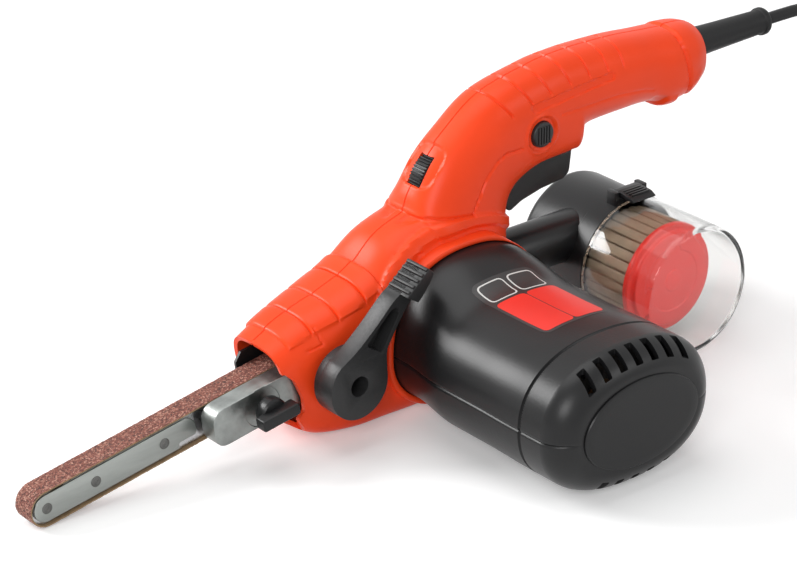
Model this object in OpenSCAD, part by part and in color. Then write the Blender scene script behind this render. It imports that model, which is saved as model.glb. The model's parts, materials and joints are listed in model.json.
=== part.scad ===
/* [Sanding belt and arm] */
// Width of the sanding belt
belt_w = 13; // [11:1:16]
// Thickness of the sanding belt
belt_t = 0.9; // [0.7:0.1:1.2]
// Distance between the front roller and the drive roller
belt_centres = 196; // [190:1:204]
// Diameter of both belt rollers
roller_d = 17; // [16:0.5:18]
// Nose-down slope of the arm in degrees
arm_slope = 9.5; // [8.5:0.25:10.5]
// Thickness of each side plate of the arm
plate_t = 1.6; // [1.2:0.1:2]
// Height of the side plates
plate_h = 14; // [12:0.5:15]
// Length of the near side plate, from the front roller's axle
near_plate_len = 87; // [82:1:92]
// Length of the step that is cut out of the near side plate's lower rear corner
plate_step = 11; // [8:1:14]
// Length of the far side plate, from the front roller's axle
far_plate_len = 150; // [140:1:152]
// Distances of the two arm rivets from the front roller's axle
rivet_at = [28, 68];
// Diameter of the rivets' shanks and of the front axle
rivet_d = 4; // [3:0.5:5]
// Diameter of the rivets' heads
rivet_head_d = 5.5; // [4.5:0.5:7]

/* [Arm holder, lever and knob] */
// Height of the cast arm holder
holder_h = 20; // [18:1:22]
// Depth of the cast arm holder across the tool
holder_w = 10; // [9:0.5:10.5]
// Start of the holder, measured from the front roller's axle
holder_start = 89; // [87:1:91]
// Travel of the arm when the belt is released
arm_travel = 8; // [4:0.5:9]
// Swing of the tension lever in degrees
lever_swing = 76; // [60:1:80]
// Distance of the lever's pivot ahead of the drive roller
lever_ahead = 37; // [35:1:40]
// Diameter of the lever's round hub
lever_hub_d = 34.5; // [32:0.5:36]
// Thickness of the lever's hub and shank
lever_t = 14.5; // [12:0.5:16]
// How far the lever's thumb rest stands out past its shank
thumb_out = 5.5; // [3:0.5:8]
// Length of the lever from its pivot to its tip
lever_len = 65; // [60:1:68]
// Angle of the lever at rest, up from the tail direction
lever_angle = 57; // [54:1:62]
// Diameter of the lever's pivot shaft
lever_shaft_d = 18; // [17.5:0.5:20]
// Diameter of the cam pin on the lever's shaft
cam_pin_d = 4; // [3.5:0.25:4.5]
// Distance of the tracking knob's screw from the front roller's axle
knob_at = 118; // [112:1:121]
// Diameter of the tracking knob's hub
knob_d = 15; // [12:0.5:17]
// Span of the tracking knob's wings
knob_span = 22; // [20:1:26]
// Diameter of the tracking knob's screw
knob_screw_d = 6; // [5:0.5:8]

/* [Drive] */
// Module of the gear teeth
gear_module = 1.5; // [1.5:0.05:1.5]
// Teeth on the motor pinion
pinion_teeth = 20; // [18:1:20]
// Teeth on the drive gear
gear_teeth = 36; // [36:1:38]
// Face width of both gears
gear_w = 7; // [5:0.5:7.5]
// Diameter of the drive spindle
spindle_d = 8; // [7:0.5:9]
// Outer diameter of the spindle bearings
spindle_bearing_d = 16; // [14:1:17]
// Width of the spindle bearings
spindle_bearing_w = 5; // [4:0.5:5.5]
// Diameter of the motor shaft
shaft_d = 7; // [6:0.5:8]
// Outer diameter of the motor bearings
motor_bearing_d = 19; // [17:1:22]
// Width of the motor bearings
motor_bearing_w = 6; // [5:0.5:7]

/* [Motor] */
// Half width of the motor case at its widest
case_a = 51; // [49:0.5:53]
// Half height of the motor case, which is also the height of the motor's axis
case_b = 36.5; // [35.5:0.5:38]
// Wall of the motor case
case_wall = 3; // [2.5:0.25:3.5]
// Distance of the bare badge face from the belt's mid-plane
case_end = 154; // [150:1:160]
// Diameter of the armature's core
core_d = 36; // [32:1:40]
// Length of the armature's and the field's cores
core_len = 42; // [36:1:46]
// Diameter of the commutator
commutator_d = 22; // [18:1:24]
// Diameter of the cooling fan
fan_d = 56; // [48:1:60]
// Blades on the cooling fan
fan_blades = 11; // [7:1:15]

/* [Housing] */
// Wall of the two housing halves
wall = 2.6; // [2.2:0.1:3]
// Diameter of the housing screws
screw_d = 3.5; // [3:0.25:4]
// Diameter of the housing screws' heads
screw_head_d = 6.6; // [6:0.2:7]

/* [Controls] */
// Width of the trigger
trigger_w = 14; // [11:0.5:16]
// Pull of the trigger in degrees
trigger_swing = 7; // [4:0.5:8]
// Diameter of the trigger's pin
trigger_pin_d = 4; // [3:0.5:5]
// Diameter of the lock button
lock_d = 13.5; // [11:0.5:15]
// Diameter of the speed dial
dial_d = 26; // [24:0.5:27]
// Width of the speed dial
dial_w = 9; // [7:0.5:10]

/* [Dust canister] */
// Clear space round the filter's cap inside the canister and the cup
filter_room = 3.9; // [2.7:0.1:5.2]
// Distance of the canister's axis behind the motor's axis
can_x = 121; // [118:1:124]
// Length of the black part, from its closed end to the joint with the cup
can_len = 49; // [46:1:51]
// Length of the clear cup
cup_len = 50; // [47:1:56]
// Wall of the canister and of the cup
can_wall = 2.4; // [1.8:0.1:2.8]
// Outer diameter of the inlet tube
inlet_d = 26; // [24:0.5:28]
// Pleats on the filter
pleats = 30; // [20:1:40]
// Outer diameter of the filter
filter_d = 56; // [50:1:58]
// Length of the filter
filter_len = 28; // [24:1:29]

/* [Cord and plug] */
// Diameter of the mains cord
cord_d = 6.5; // [6:0.1:7]
// Diameter of the strain relief where it leaves the handle
relief_d = 16.2; // [14:0.2:16.4]
// Length of the strain relief outside the handle
relief_len = 57; // [50:1:58]
// Radius at the middle of the coil's turns
coil_r = 36; // [35:0.5:38]
// Clear space between neighbouring turns of the coil
coil_gap = 0.7; // [0.5:0.1:1]
// Diameter of the plug's pins
pin_d = 4.8; // [4:0.1:5]
// Distance between the plug's pins
pin_pitch = 19; // [17:0.5:21]
// Length of the plug's pins
pin_len = 19; // [16:0.5:20]

/* [Hidden] */
$fn = 64;

// Gap left between two pieces that only lie against each other
seat = 0.3;
// Radial clearance of a turning fit
run = 0.05;
// Radial clearance of two pieces that are pressed together
press = 0.01;

loop_r = roller_d / 2 + run + belt_t;
// The filter's cap stands out a little over the pleats, and the canister is sized to clear it
cap_lip = 0.4;
can_r = filter_d / 2 + cap_lip + filter_room + can_wall;
motor_z = case_b;
gear_centres = gear_module * (pinion_teeth + gear_teeth) / 2;
drive_z = loop_r + belt_centres * sin(arm_slope);
drive_x = -sqrt(pow(gear_centres, 2) - pow(drive_z - motor_z, 2));
mesh_angle = atan2(motor_z - drive_z, -drive_x);

// Places across the tool, away from the belt's mid-plane
plate_y = belt_w / 2 - 0.4 - plate_t;
holder_y = -belt_w / 2 - 1.5;
gear_y = belt_w / 2 + 4;
far_bearing_y = gear_y + gear_w + 1;
near_bearing_y = -belt_w / 2 - 4.5;
collar_y = -26;

// Side view of the housing as sections along its spine:
// x, z, slope in degrees, half height, half width near, half width far, squareness above and below
SPINE = [
  [-106, 32.5, 14, 22, 21, 18, 3.4, 5],
  [-90, 33, 4, 29.5, 23.5, 21, 3.4, 6],
  [-68, 34.9, 2, 34.1, 26, 26, 3.4, 7],
  [-49, 38.4, 4.6, 37.7, 27, 28, 3.2, 7],
  [-27, 44.6, 12.8, 45, 28, 28, 3, 6],
  [6, 51.5, 30, 50.5, 28, 28, 3, 4],
  [11, 68.5, 43.5, 41, 26.5, 26.5, 2.8, 3],
  [13.5, 86.5, 55, 33.5, 22, 22, 2.6, 2.8],
  [18.5, 102.5, 53, 29, 20, 20, 2.5, 2.6],
  [28, 113.5, 46, 27, 19, 19, 2.4, 2.5],
  [44.5, 126, 36, 25, 18.5, 18.5, 2.4, 2.4],
  [70.5, 132.5, 22, 22.5, 18, 18, 2.4, 2.4],
  [95, 135, 7, 20.5, 18, 18, 2.4, 2.4],
  [118, 135, -2, 19.5, 18, 18, 2.4, 2.4],
  [136, 134, -5, 18.7, 18, 18, 2.4, 2.4],
  [150, 131.5, -6, 20, 19, 19, 2.4, 2.4],
  [163, 131.5, -4, 19, 18, 18, 2.3, 2.3],
  [171, 133, 0, 15.5, 15, 15, 2.2, 2.2]];
// Sections added between two neighbours of the table
fill = 2;
// Height of the strain relief's axis above the last section's middle
relief_rise = 3;
relief_at = [SPINE[len(SPINE) - 1][0], 0, SPINE[len(SPINE) - 1][1] + relief_rise];

// The tool's own datum is where the motor's axis crosses the belt's mid-plane.
// It is placed so that the middle of the whole tool, without its cord, lies at the frame's origin.
badge_t = 1.5;
can_y = 32;
tip_x = drive_x - belt_centres * cos(arm_slope) - loop_r;
datum = [-(tip_x + relief_at[0] + relief_len) / 2, (case_end + badge_t - can_y) / 2, 0];

// Housing screws: x, z, and how far their bosses reach to the near and the far wall
SCREWS = [[-24, 74, 23.5, 23.5], [22, 124, 16, 16], [110, 146, 14, 14], [150, 122, 15.5, 15.5],
  [-89, 13, 21.5, 19], [20, 17, 24, 24]];
boss_d = 10;
screw_depth = 12;

// Sections of the motor case: amount taken off the half sizes, and amount added above at the flared neck.
// Those of the neck have a share of the case's length first, those of the end a distance from the end
case_start = seat - collar_y;
case_body = case_end - case_start;
NECK = [[0, 4, 13], [0.076, 4, 13], [0.154, 3, 7], [0.24, 1, 1.6], [0.342, 0.6, 0], [0.499, 0.6, 0]];
END = [[30, 0, 0], [29, 1.3, 0], [27, 1.3, 0], [26, 0, 0], [13, 0, 0], [7, 2.5, 0], [3, 6.5, 0], [0, 13, 0]];
CASE = concat([for (r = NECK) [case_start + r[0] * case_body, r[1], r[2]]],
  [for (r = END) [case_end - r[0], r[1], r[2]]]);
case_square = 2.3;

// A smooth curve through four rows of a table
function blend4(a, b, c, d, t) = 0.5 * (2 * b + (c - a) * t + (2 * a - 5 * b + 4 * c - d) * t * t
  + (3 * b - a - 3 * c + d) * t * t * t);
function row(table, i) = table[max(0, min(len(table) - 1, i))];
function smooth_rows(table, n) = concat([for (i = [0:len(table) - 2], k = [0:n - 1])
  blend4(row(table, i - 1), row(table, i), row(table, i + 1), row(table, i + 2), k / n)],
  [table[len(table) - 1]]);
function power_of(v, p) = sign(v) * pow(abs(v), p);
function oval(a, b, n = 60) = [for (i = [0:n - 1]) [a * cos(360 * i / n), b * sin(360 * i / n)]];
function ring_at(c, e1, e2, r, above, below, angles) = [for (t = angles) let (p = sin(t) > 0 ? above : below)
  c + e1 * r[0] * power_of(cos(t), 2 / p) + e2 * r[1] * power_of(sin(t), 2 / p)];
// Oval with its own half height above and below
function egg(a, above, below, p, n = 60) = [for (i = [0:n - 1]) let (t = 360 * i / n)
  [a * power_of(cos(t), 2 / p), (sin(t) > 0 ? above : below) * power_of(sin(t), 2 / p)]];

// Two triangles for each four-sided patch
function patch(a, b, c, d, turned) = turned ? [[a, c, b], [a, d, c]] : [[a, b, c], [a, c, d]];

// Half of a hollow loft: each section is [outer points, inner points]
module half_shell(sections, turned) {
  m = len(sections[0][0]);
  last = len(sections) - 1;
  points = [for (s = sections) each concat(s[0], s[1])];
  function out(k, i) = k * 2 * m + i;
  function inn(k, i) = k * 2 * m + m + i;
  faces = [
    for (k = [0:last - 1], i = [0:m - 2]) each concat(
      patch(out(k, i), out(k, i + 1), out(k + 1, i + 1), out(k + 1, i), turned),
      patch(inn(k, i), inn(k + 1, i), inn(k + 1, i + 1), inn(k, i + 1), turned)),
    for (k = [0:last - 1]) each concat(
      patch(out(k, 0), out(k + 1, 0), inn(k + 1, 0), inn(k, 0), turned),
      patch(out(k, m - 1), inn(k, m - 1), inn(k + 1, m - 1), out(k + 1, m - 1), turned)),
    for (i = [0:m - 2]) each concat(
      patch(out(0, i), inn(0, i), inn(0, i + 1), out(0, i + 1), turned),
      patch(out(last, i), out(last, i + 1), inn(last, i + 1), inn(last, i), turned))];
  polyhedron(points, faces);
}

// A round tube swept along a path; the guide is a direction that the path never takes
module swept_tube(path, d, sides, guide) {
  last = len(path) - 1;
  function unit(v) = v / norm(v);
  function heading(i) = unit(path[min(i + 1, last)] - path[max(i - 1, 0)]);
  points = [for (i = [0:last]) let (t = heading(i), u = unit(cross(t, guide)), v = cross(t, u))
    for (k = [0:sides - 1]) path[i] + d / 2 * (u * cos(360 * k / sides) + v * sin(360 * k / sides))];
  faces = concat(
    [for (i = [0:last - 1], k = [0:sides - 1]) let (n = (k + 1) % sides)
      each patch(i * sides + k, (i + 1) * sides + k, (i + 1) * sides + n, i * sides + n, false)],
    [for (k = [1:sides - 2]) [0, k, k + 1]],
    [for (k = [1:sides - 2]) [last * sides, last * sides + k + 1, last * sides + k]]);
  polyhedron(points, faces);
}

// Placing helpers
module placed() { translate(datum) children(); }
module along_y(y0, y1) { translate([0, y1, 0]) rotate([90, 0, 0]) linear_extrude(y1 - y0) children(); }
module rod_y(d, y0, y1) { along_y(y0, y1) circle(d = d); }
module rod_x(d, x0, x1) { translate([x0, 0, 0]) rotate([0, 90, 0]) cylinder(d = d, h = x1 - x0); }
// Lathe turned about an axis along Y: the profile gives radius and distance along -Y
module turned_y() { rotate([90, 0, 0]) rotate_extrude() children(); }
module at_motor() { placed() translate([0, 0, motor_z]) children(); }
module at_drive() { placed() translate([drive_x, 0, drive_z]) children(); }
// Frame of the arm: x runs up the arm from the front roller, which is at 0
module at_arm() { at_drive() rotate([0, -arm_slope, 0]) translate([-belt_centres, 0, 0]) children(); }
module at_can() { placed() translate([can_x, can_y, can_r]) children(); }

// Outline of a belt loop or a round-ended bar
module round_bar(x0, x1, h) {
  translate([x0, 0]) circle(d = h);
  translate([x1, 0]) circle(d = h);
  translate([x0, -h / 2]) square([x1 - x0, h]);
}

// Housing sections: half circles from the top to the bottom on one side
function housing_sections(near) = let (rows = smooth_rows(SPINE, fill), n = len(rows))
  [for (i = [0:n - 1]) let (s = rows[i], c = [s[0], 0, s[1]], up = [-sin(s[2]), 0, cos(s[2])],
    side = [0, near ? -1 : 1, 0], w = near ? s[4] : s[5], angles = [for (k = [0:12]) 90 - 15 * k],
    at_end = i == n - 1, hole = relief_d / 2 + seat)
    [ring_at(c, side, up, [w, s[3]], s[6], s[7], angles),
     at_end ? ring_at(c + up * relief_rise, side, up, [hole, hole], 2, 2, angles)
       : ring_at(c, side, up, [w - wall, s[3] - wall], s[6], s[7], angles)]];

// Slots through the joint of both halves: trigger, speed dial and drive openings
module housing_slots() {
  trigger_slot();
  dial_slot();
  port_hole();
}
TRIGGER_SLOT = [[41, 74], [60, 76], [95, 94], [95, 126], [62, 126], [39, 116], [39, 84]];
module trigger_slot() {
  along_y(-trigger_w / 2 - seat, trigger_w / 2 + seat) polygon(TRIGGER_SLOT);
}
// Cheek of the housing beside the trigger
CHEEK = [[38, 88], [41, 94], [52, 101], [70, 102], [84, 102.5], [88, 113], [88, 124], [44, 120]];
cheek_t = 6.7;
cheek_y = [trigger_w / 2 + seat, trigger_w / 2 + seat + cheek_t];
module trigger_cheek(side) {
  along_y(side < 0 ? -cheek_y[1] : cheek_y[0], side < 0 ? -cheek_y[0] : cheek_y[1]) polygon(CHEEK);
}
dial_at = [2.5, 108];
module dial_slot() {
  along_y(-dial_w / 2 - seat, dial_w / 2 + seat)
    translate(dial_at) circle(d = dial_d + 2);
}
// Outlet of the housing that the canister's inlet tube fits over
port_y = 5;
port_z = 49;
port_d = inlet_d - 2 * can_wall - 0.4;
port_x = [26, 56];
tube_x = 42.5;
module port_hole() { translate([0, port_y, port_z]) rod_x(port_d - 2 * can_wall, 10, port_x[1] + 1); }
module port_tube(far) {
  intersection() {
    translate([0, port_y, port_z]) rod_x(port_d, port_x[0], port_x[1]);
    translate([0, far ? 0 : -60, 0]) cube([90, 60, 100]);
  }
}

module screw_bosses(side) {
  for (s = SCREWS) translate([s[0], 0, s[1]]) rod_y(boss_d, side < 0 ? -s[2] : 0, side < 0 ? 0 : s[3]);
}

lever_x = drive_x - lever_ahead * cos(arm_slope);
lever_z = drive_z - lever_ahead * sin(arm_slope);
lever_wall_y = -26.8;

collar_end = -30;
collar_t = 3.5;
case_neck = CASE[0];
// Outline of the motor case's neck, grown by a margin
module neck_outline(m) {
  polygon(egg(case_a - case_neck[1] + m, case_b - case_neck[1] + case_neck[2] + m, case_b - case_neck[1] + m,
    case_square));
}
// Post in the nose that carries the guard
guard_y = belt_w / 2 + 2;
guard_t = 1.5;
guard_post = [140, 5];
guard_pin_d = 3;

// Left half, on the motor's side, with the collar that the motor case sits in
module housing_left() color([0.95, 0.28, 0.1]) {
  placed() difference() {
    union() {
      half_shell(housing_sections(true), true);
      translate([0, 0, motor_z]) along_y(collar_end, collar_y + 4) neck_outline(collar_t);
      translate([drive_x, 0, drive_z]) rod_y(spindle_bearing_d + 2 * seat_wall, collar_y + 1, near_bearing_y);
      trigger_cheek(-1);
      screw_bosses(-1);
      port_tube(false);
    }
    translate([0, 0, motor_z]) along_y(collar_end - 1, collar_y) neck_outline(seat);
    translate([0, 0, motor_z]) rod_y(shaft_d + 5, collar_end - 1, 1);
    translate([drive_x, 0, drive_z])
      rod_y(spindle_bearing_d + 2 * press, near_bearing_y - spindle_bearing_w - seat, 1);
    translate([lever_x, 0, lever_z]) rod_y(lever_shaft_d + 2 * run, -40, -10);
    knob_notch();
    for (s = SCREWS) translate([s[0], 0, s[1]]) rod_y(screw_d - 0.6, -screw_depth - 1, 1);
    translate([lock_at[0], 0, lock_at[1]]) rod_y(lock_d + 2 * run, -30, -8);
    translate([trigger_pivot[0], 0, trigger_pivot[1]]) rod_y(trigger_pin_d + 2 * press, -12, 1);
    housing_slots();
  }
}
// Open notch in the nose that the tracking knob's screw moves along, and the set-back edge about it
module knob_notch() {
  translate([drive_x, 0, drive_z]) rotate([0, -arm_slope, 0])
    translate([knob_at - belt_centres, -40, -knob_screw_d / 2 - 1])
      cube([arm_travel + 6, 40, knob_screw_d + 2]);
  along_y(-40, nose_notch_in) polygon(NOSE_NOTCH);
}
// Front edge of the nose's near wall, set back round the arm holder and the knob
nose_notch_in = -14;
NOSE_NOTCH = [[-125, 45], [-107, 43], [-102, 38], [-97.5, 28], [-96.5, 21], [-99.5, 16.5], [-91, 4],
  [-91, -5], [-125, -5]];

// Right half, with the gear chamber and the screws' seats
bush_d = shaft_d + 5;
seat_wall = 3;
// How far the bearing seats reach across to the outer wall
seat_end = far_bearing_y + spindle_bearing_w + 4;
module housing_right() color([0.93, 0.26, 0.09]) {
  placed() difference() {
    union() {
      half_shell(housing_sections(false), false);
      translate([drive_x, 0, drive_z]) rod_y(spindle_bearing_d + 2 * seat_wall, far_bearing_y, seat_end);
      translate([0, 0, motor_z]) rod_y(bush_d + 2 * seat_wall - 1, far_bearing_y, seat_end);
      translate([dial_at[0], 0, dial_at[1]]) rod_y(control_d - 2, control_end, control_end + 5);
      trigger_cheek(1);
      screw_bosses(1);
      port_tube(true);
    }
    translate([drive_x, 0, drive_z])
      rod_y(spindle_bearing_d + 2 * press, -1, far_bearing_y + spindle_bearing_w + seat);
    translate([0, 0, motor_z]) rod_y(bush_d + 2 * press, -1, far_bearing_y + spindle_bearing_w);
    for (s = SCREWS) translate([s[0], 0, s[1]]) {
      rod_y(screw_d + 0.4, -1, 40);
      rod_y(screw_head_d + 0.4, screw_depth, 40);
    }
    translate([trigger_pivot[0], 0, trigger_pivot[1]]) rod_y(trigger_pin_d + 2 * press, -1, 12);
    housing_slots();
  }
  at_arm() translate([guard_post[0], 0, guard_post[1]]) {
    rod_y(8, guard_y + guard_t, 20);
    rod_y(guard_pin_d, guard_y, guard_y + guard_t + 0.1);
  }
}

module housing_screws() color([0.35, 0.35, 0.37]) placed()
  for (s = SCREWS) translate([s[0], 0, s[1]]) {
    rod_y(screw_d - 0.62, -screw_depth, 0);
    rod_y(screw_d, 0, screw_depth);
    rod_y(screw_head_d, screw_depth, screw_depth + 2.2);
  }

// Black sheet guard that closes the nose on the belt's far side
module nose_guard() color([0.12, 0.12, 0.13]) at_arm() along_y(guard_y, guard_y + guard_t) difference() {
  polygon([[124, -13], [150, -13], [150, 15], [128, 15], [124, 11]]);
  translate(guard_post) circle(d = guard_pin_d + 2 * press);
}

// Sanding belt, stretched over both rollers
module sanding_belt() color([0.55, 0.29, 0.25]) at_arm()
  along_y(-belt_w / 2, belt_w / 2) difference() {
    round_bar(0, belt_centres, 2 * loop_r);
    round_bar(0, belt_centres, 2 * (loop_r - belt_t));
  }

module front_roller() color([0.6, 0.6, 0.62]) at_arm() difference() {
  rod_y(roller_d, -plate_y + 0.2, plate_y - 0.2);
  rod_y(rivet_d + 2 * run, -20, 20);
}

module rivet_at_origin() {
  rod_y(rivet_d, -plate_y - plate_t, plate_y + plate_t);
  rod_y(rivet_head_d, -plate_y - plate_t - 0.9, -plate_y - plate_t);
  rod_y(rivet_head_d, plate_y + plate_t, plate_y + plate_t + 0.9);
}
module front_axle() color([0.5, 0.5, 0.52]) at_arm() rivet_at_origin();
module arm_rivets() color([0.5, 0.5, 0.52]) at_arm()
  for (x = rivet_at) translate([x, 0, 0]) rivet_at_origin();
module rivet_holes() { for (x = concat([0], rivet_at)) translate([x, 0]) circle(d = rivet_d + 2 * press); }

module arm_plate_near() color([0.66, 0.66, 0.68]) at_arm()
  along_y(-plate_y - plate_t, -plate_y) difference() {
    round_bar(0, near_plate_len - plate_h / 2, plate_h);
    translate([near_plate_len - plate_step, -plate_h / 2 - 1]) square([plate_step + 2, 4]);
    rivet_holes();
  }

module arm_plate_far() color([0.62, 0.62, 0.64]) at_arm()
  along_y(plate_y, plate_y + plate_t) difference() {
    round_bar(0, far_plate_len - plate_h / 2, plate_h);
    rivet_holes();
  }

// Steel bar between the plates that backs up both runs of the belt
module arm_core() color([0.45, 0.45, 0.47]) at_arm()
  along_y(-plate_y, plate_y) difference() {
    translate([roller_d / 2 + 3, -roller_d / 2 + 0.3])
      square([far_plate_len - roller_d / 2 - 3, roller_d - 0.6]);
    rivet_holes();
  }

// Cast holder beside the belt that carries the arm and slides in the nose
cam_r = arm_travel / 2 / sin(lever_swing / 2);
holder_past_cam = 7;
foot_start = holder_start + 6;
holder_end = belt_centres - lever_ahead + holder_past_cam;
module arm_holder() color([0.72, 0.72, 0.73]) at_arm() difference() {
  union() {
    along_y(holder_y - holder_w, holder_y)
      round_bar(holder_start + holder_h / 2, holder_end - 8, holder_h);
    along_y(holder_y, -plate_y) translate([foot_start, -plate_h / 2 + 0.5])
      square([far_plate_len - foot_start - 2, plate_h - 1]);
  }
  along_y(holder_y - holder_w - 1, -plate_y + 1) translate([belt_centres - lever_ahead, -cam_r + 2])
    translate([-arm_travel / 2 - cam_pin_d / 2 - 0.2, -7]) square([cam_pin_d + 0.4, 14]);
  translate([knob_at, 0, 0]) rod_y(knob_screw_d + 2 * run, holder_y - holder_w - 1, holder_y - 1);
}

// Lever that draws the arm back, with its shaft and cam pin; its shank is cranked away from the collar
lever_crank = 4.3;
lever_back = lever_wall_y - seat;
module tension_lever() color([0.2, 0.2, 0.21]) {
  placed() translate([lever_x, 0, lever_z]) difference() {
    union() {
      rod_y(lever_hub_d, lever_back - lever_t, lever_back);
      rod_y(lever_shaft_d, lever_back, holder_y - holder_w - seat);
      rotate([0, -lever_angle, 0]) along_y(lever_back - lever_t, lever_back - lever_crank) lever_outline();
      rotate([0, -lever_angle, 0]) along_y(lever_back - lever_t - thumb_out, lever_back - lever_crank)
        thumb_outline();
    }
    rod_y(lever_bore_d, lever_back - lever_t - 1, lever_back - 3);
    rotate([0, -lever_angle, 0]) along_y(lever_back - lever_t - 1, lever_back - lever_t + lever_pocket_depth)
      polygon(along_lever(LEVER_POCKET));
  }
  at_arm() translate([belt_centres - lever_ahead, 0, 0]) rotate([0, lever_swing / 2, 0])
    translate([0, 0, -cam_r]) rod_y(cam_pin_d, holder_y - holder_w - seat - 1, holder_y);
}
// Side view of the lever: places along its length as shares, and heights over the line from the pivot
lever_bore_d = 10.5;
lever_pocket_depth = 8;
thumb_share = 0.73;
LEVER_TOP = [[0.08, 16.5], [0.22, 12], [0.43, 7.5], [0.66, 3.8], [0.76, 1.2], [1, -3.6]];
LEVER_UNDER = [[0.99, -7.5], [0.92, -8.2], [0.8, -7.5], [0.68, -6], [0.43, -5.9], [0.31, -7], [0.15, -14]];
LEVER_POCKET = [[0.29, 7.4], [0.43, 5.4], [0.6, 2.6], [0.65, 0], [0.61, -3], [0.43, -3.6], [0.29, -4]];
function along_lever(table) = [for (p = table) [p[0] * lever_len, p[1]]];
module lever_outline() { polygon(along_lever(concat(LEVER_TOP, LEVER_UNDER))); }
module thumb_outline() {
  intersection() {
    lever_outline();
    translate([thumb_share * lever_len, -lever_len / 2]) square(lever_len);
  }
}

// Winged knob that sets the belt's tracking; its hub stays outside the nose
knob_back = -21.6;
knob_wing_t = 6.4;
module tracking_knob() color([0.13, 0.13, 0.14]) at_arm() translate([knob_at, 0, 0]) {
  rod_y(knob_screw_d, knob_back - 0.5, holder_y - 2);
  rod_y(knob_d, knob_back - 6, knob_back);
  along_y(knob_back - 12, knob_back - 5)
    round_bar(-knob_span / 2 + knob_wing_t / 2, knob_span / 2 - knob_wing_t / 2, knob_wing_t);
}

// Involute gear outline
pressure_angle = 20;
backlash = 0.12;
function involute(a) = tan(a) * 180 / PI - a;
function flank(r, n) = let (rp = gear_module * n / 2, rb = rp * cos(pressure_angle))
  90 / n - backlash / rp * 180 / PI / 2 + involute(pressure_angle) - (r > rb ? involute(acos(rb / r)) : 0);
module gear_outline(n, spin) {
  rp = gear_module * n / 2;
  rb = rp * cos(pressure_angle);
  root = rp - 1.3 * gear_module;
  tip = rp + 0.95 * gear_module;
  steps = [root, max(rb, root + 0.1), rp - 0.2 * gear_module, rp + 0.4 * gear_module, tip];
  polygon([for (k = [0:n - 1]) let (c = spin + 360 * k / n) each concat(
    [for (r = steps) r * [cos(c - flank(r, n)), sin(c - flank(r, n))]],
    [for (i = [4:-1:0]) let (r = steps[i]) r * [cos(c + flank(r, n)), sin(c + flank(r, n))]])]);
}

module drive_gear() color([0.55, 0.5, 0.4]) at_drive() along_y(gear_y, gear_y + gear_w) difference() {
  gear_outline(gear_teeth, mesh_angle);
  circle(d = spindle_d + 2 * press);
}
module motor_pinion() color([0.5, 0.5, 0.52]) at_motor() along_y(gear_y, gear_y + gear_w) difference() {
  gear_outline(pinion_teeth, mesh_angle + 180 + 180 / pinion_teeth);
  circle(d = shaft_d + 2 * press);
}

bearing_bore = 5;
module drive_spindle() color([0.6, 0.6, 0.62]) at_drive() {
  rod_y(spindle_d, near_bearing_y + 0.2, far_bearing_y - 0.2);
  rod_y(bearing_bore, near_bearing_y - spindle_bearing_w, far_bearing_y + spindle_bearing_w);
}
module drive_roller() color([0.16, 0.16, 0.17]) at_drive() difference() {
  rod_y(roller_d, -belt_w / 2 - 1.5, belt_w / 2 + 1.5);
  rod_y(spindle_d + 2 * press, -20, 20);
}
module bearing_ring(bore, od, w) {
  turned_y() translate([bore / 2, 0]) square([(od - bore) / 2, w]);
}
module spindle_bearings() color([0.68, 0.68, 0.7]) at_drive() {
  for (y = [near_bearing_y, far_bearing_y + spindle_bearing_w])
    translate([0, y, 0]) bearing_ring(bearing_bore + 2 * run, spindle_bearing_d, spindle_bearing_w);
}

// Motor case: half ovals, closed at the badge end
function case_ring(y, a, b, angles) =
  ring_at([0, y, 0], [1, 0, 0], [0, 0, 1], [a, b], case_square, case_square, angles);
function case_sections(upper) = let (angles = [for (k = [0:20]) (upper ? 0 : 180) + 9 * k], n = len(CASE))
  concat([for (i = [0:n - 1]) let (s = CASE[i], a = case_a - s[1], b = case_b - s[1] + (upper ? s[2] : 0),
    back = i == n - 1 ? case_wall : 0)
    [case_ring(-s[0], a, b, angles), case_ring(back - s[0], a - case_wall, b - case_wall, angles)]],
  [[case_ring(-case_end, 2.6, 2.6, angles), case_ring(case_wall - case_end, 2, 2, angles)]]);

vents_above = 7;
vents_below = 5;
vent_w = 4.6;
vent_pitch = 9.8;
vent_len = 9.6;
vent_from_end = 1.9;
// Height over the motor's axis at which the vents' cuts start
vent_foot = 22;
module vent_slots(count) {
  for (i = [0:count - 1])
    translate([(i - (count - 1) / 2) * vent_pitch - vent_w / 2, vent_from_end - case_end, 0])
      cube([vent_w, vent_len, case_b]);
}
module motor_case_upper() color([0.17, 0.17, 0.18]) at_motor() difference() {
  half_shell(case_sections(true), true);
  translate([0, 0, vent_foot]) vent_slots(vents_above);
}
module motor_case_lower() color([0.15, 0.15, 0.16]) at_motor() difference() {
  half_shell(case_sections(false), true);
  translate([0, 0, -vent_foot - case_b]) vent_slots(vents_below);
}
badge_in = [15, 14];
module motor_badge() color([0.22, 0.22, 0.23]) at_motor()
  along_y(-case_end - badge_t, -case_end) polygon(oval(case_a - badge_in[0], case_b - badge_in[1]));

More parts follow.
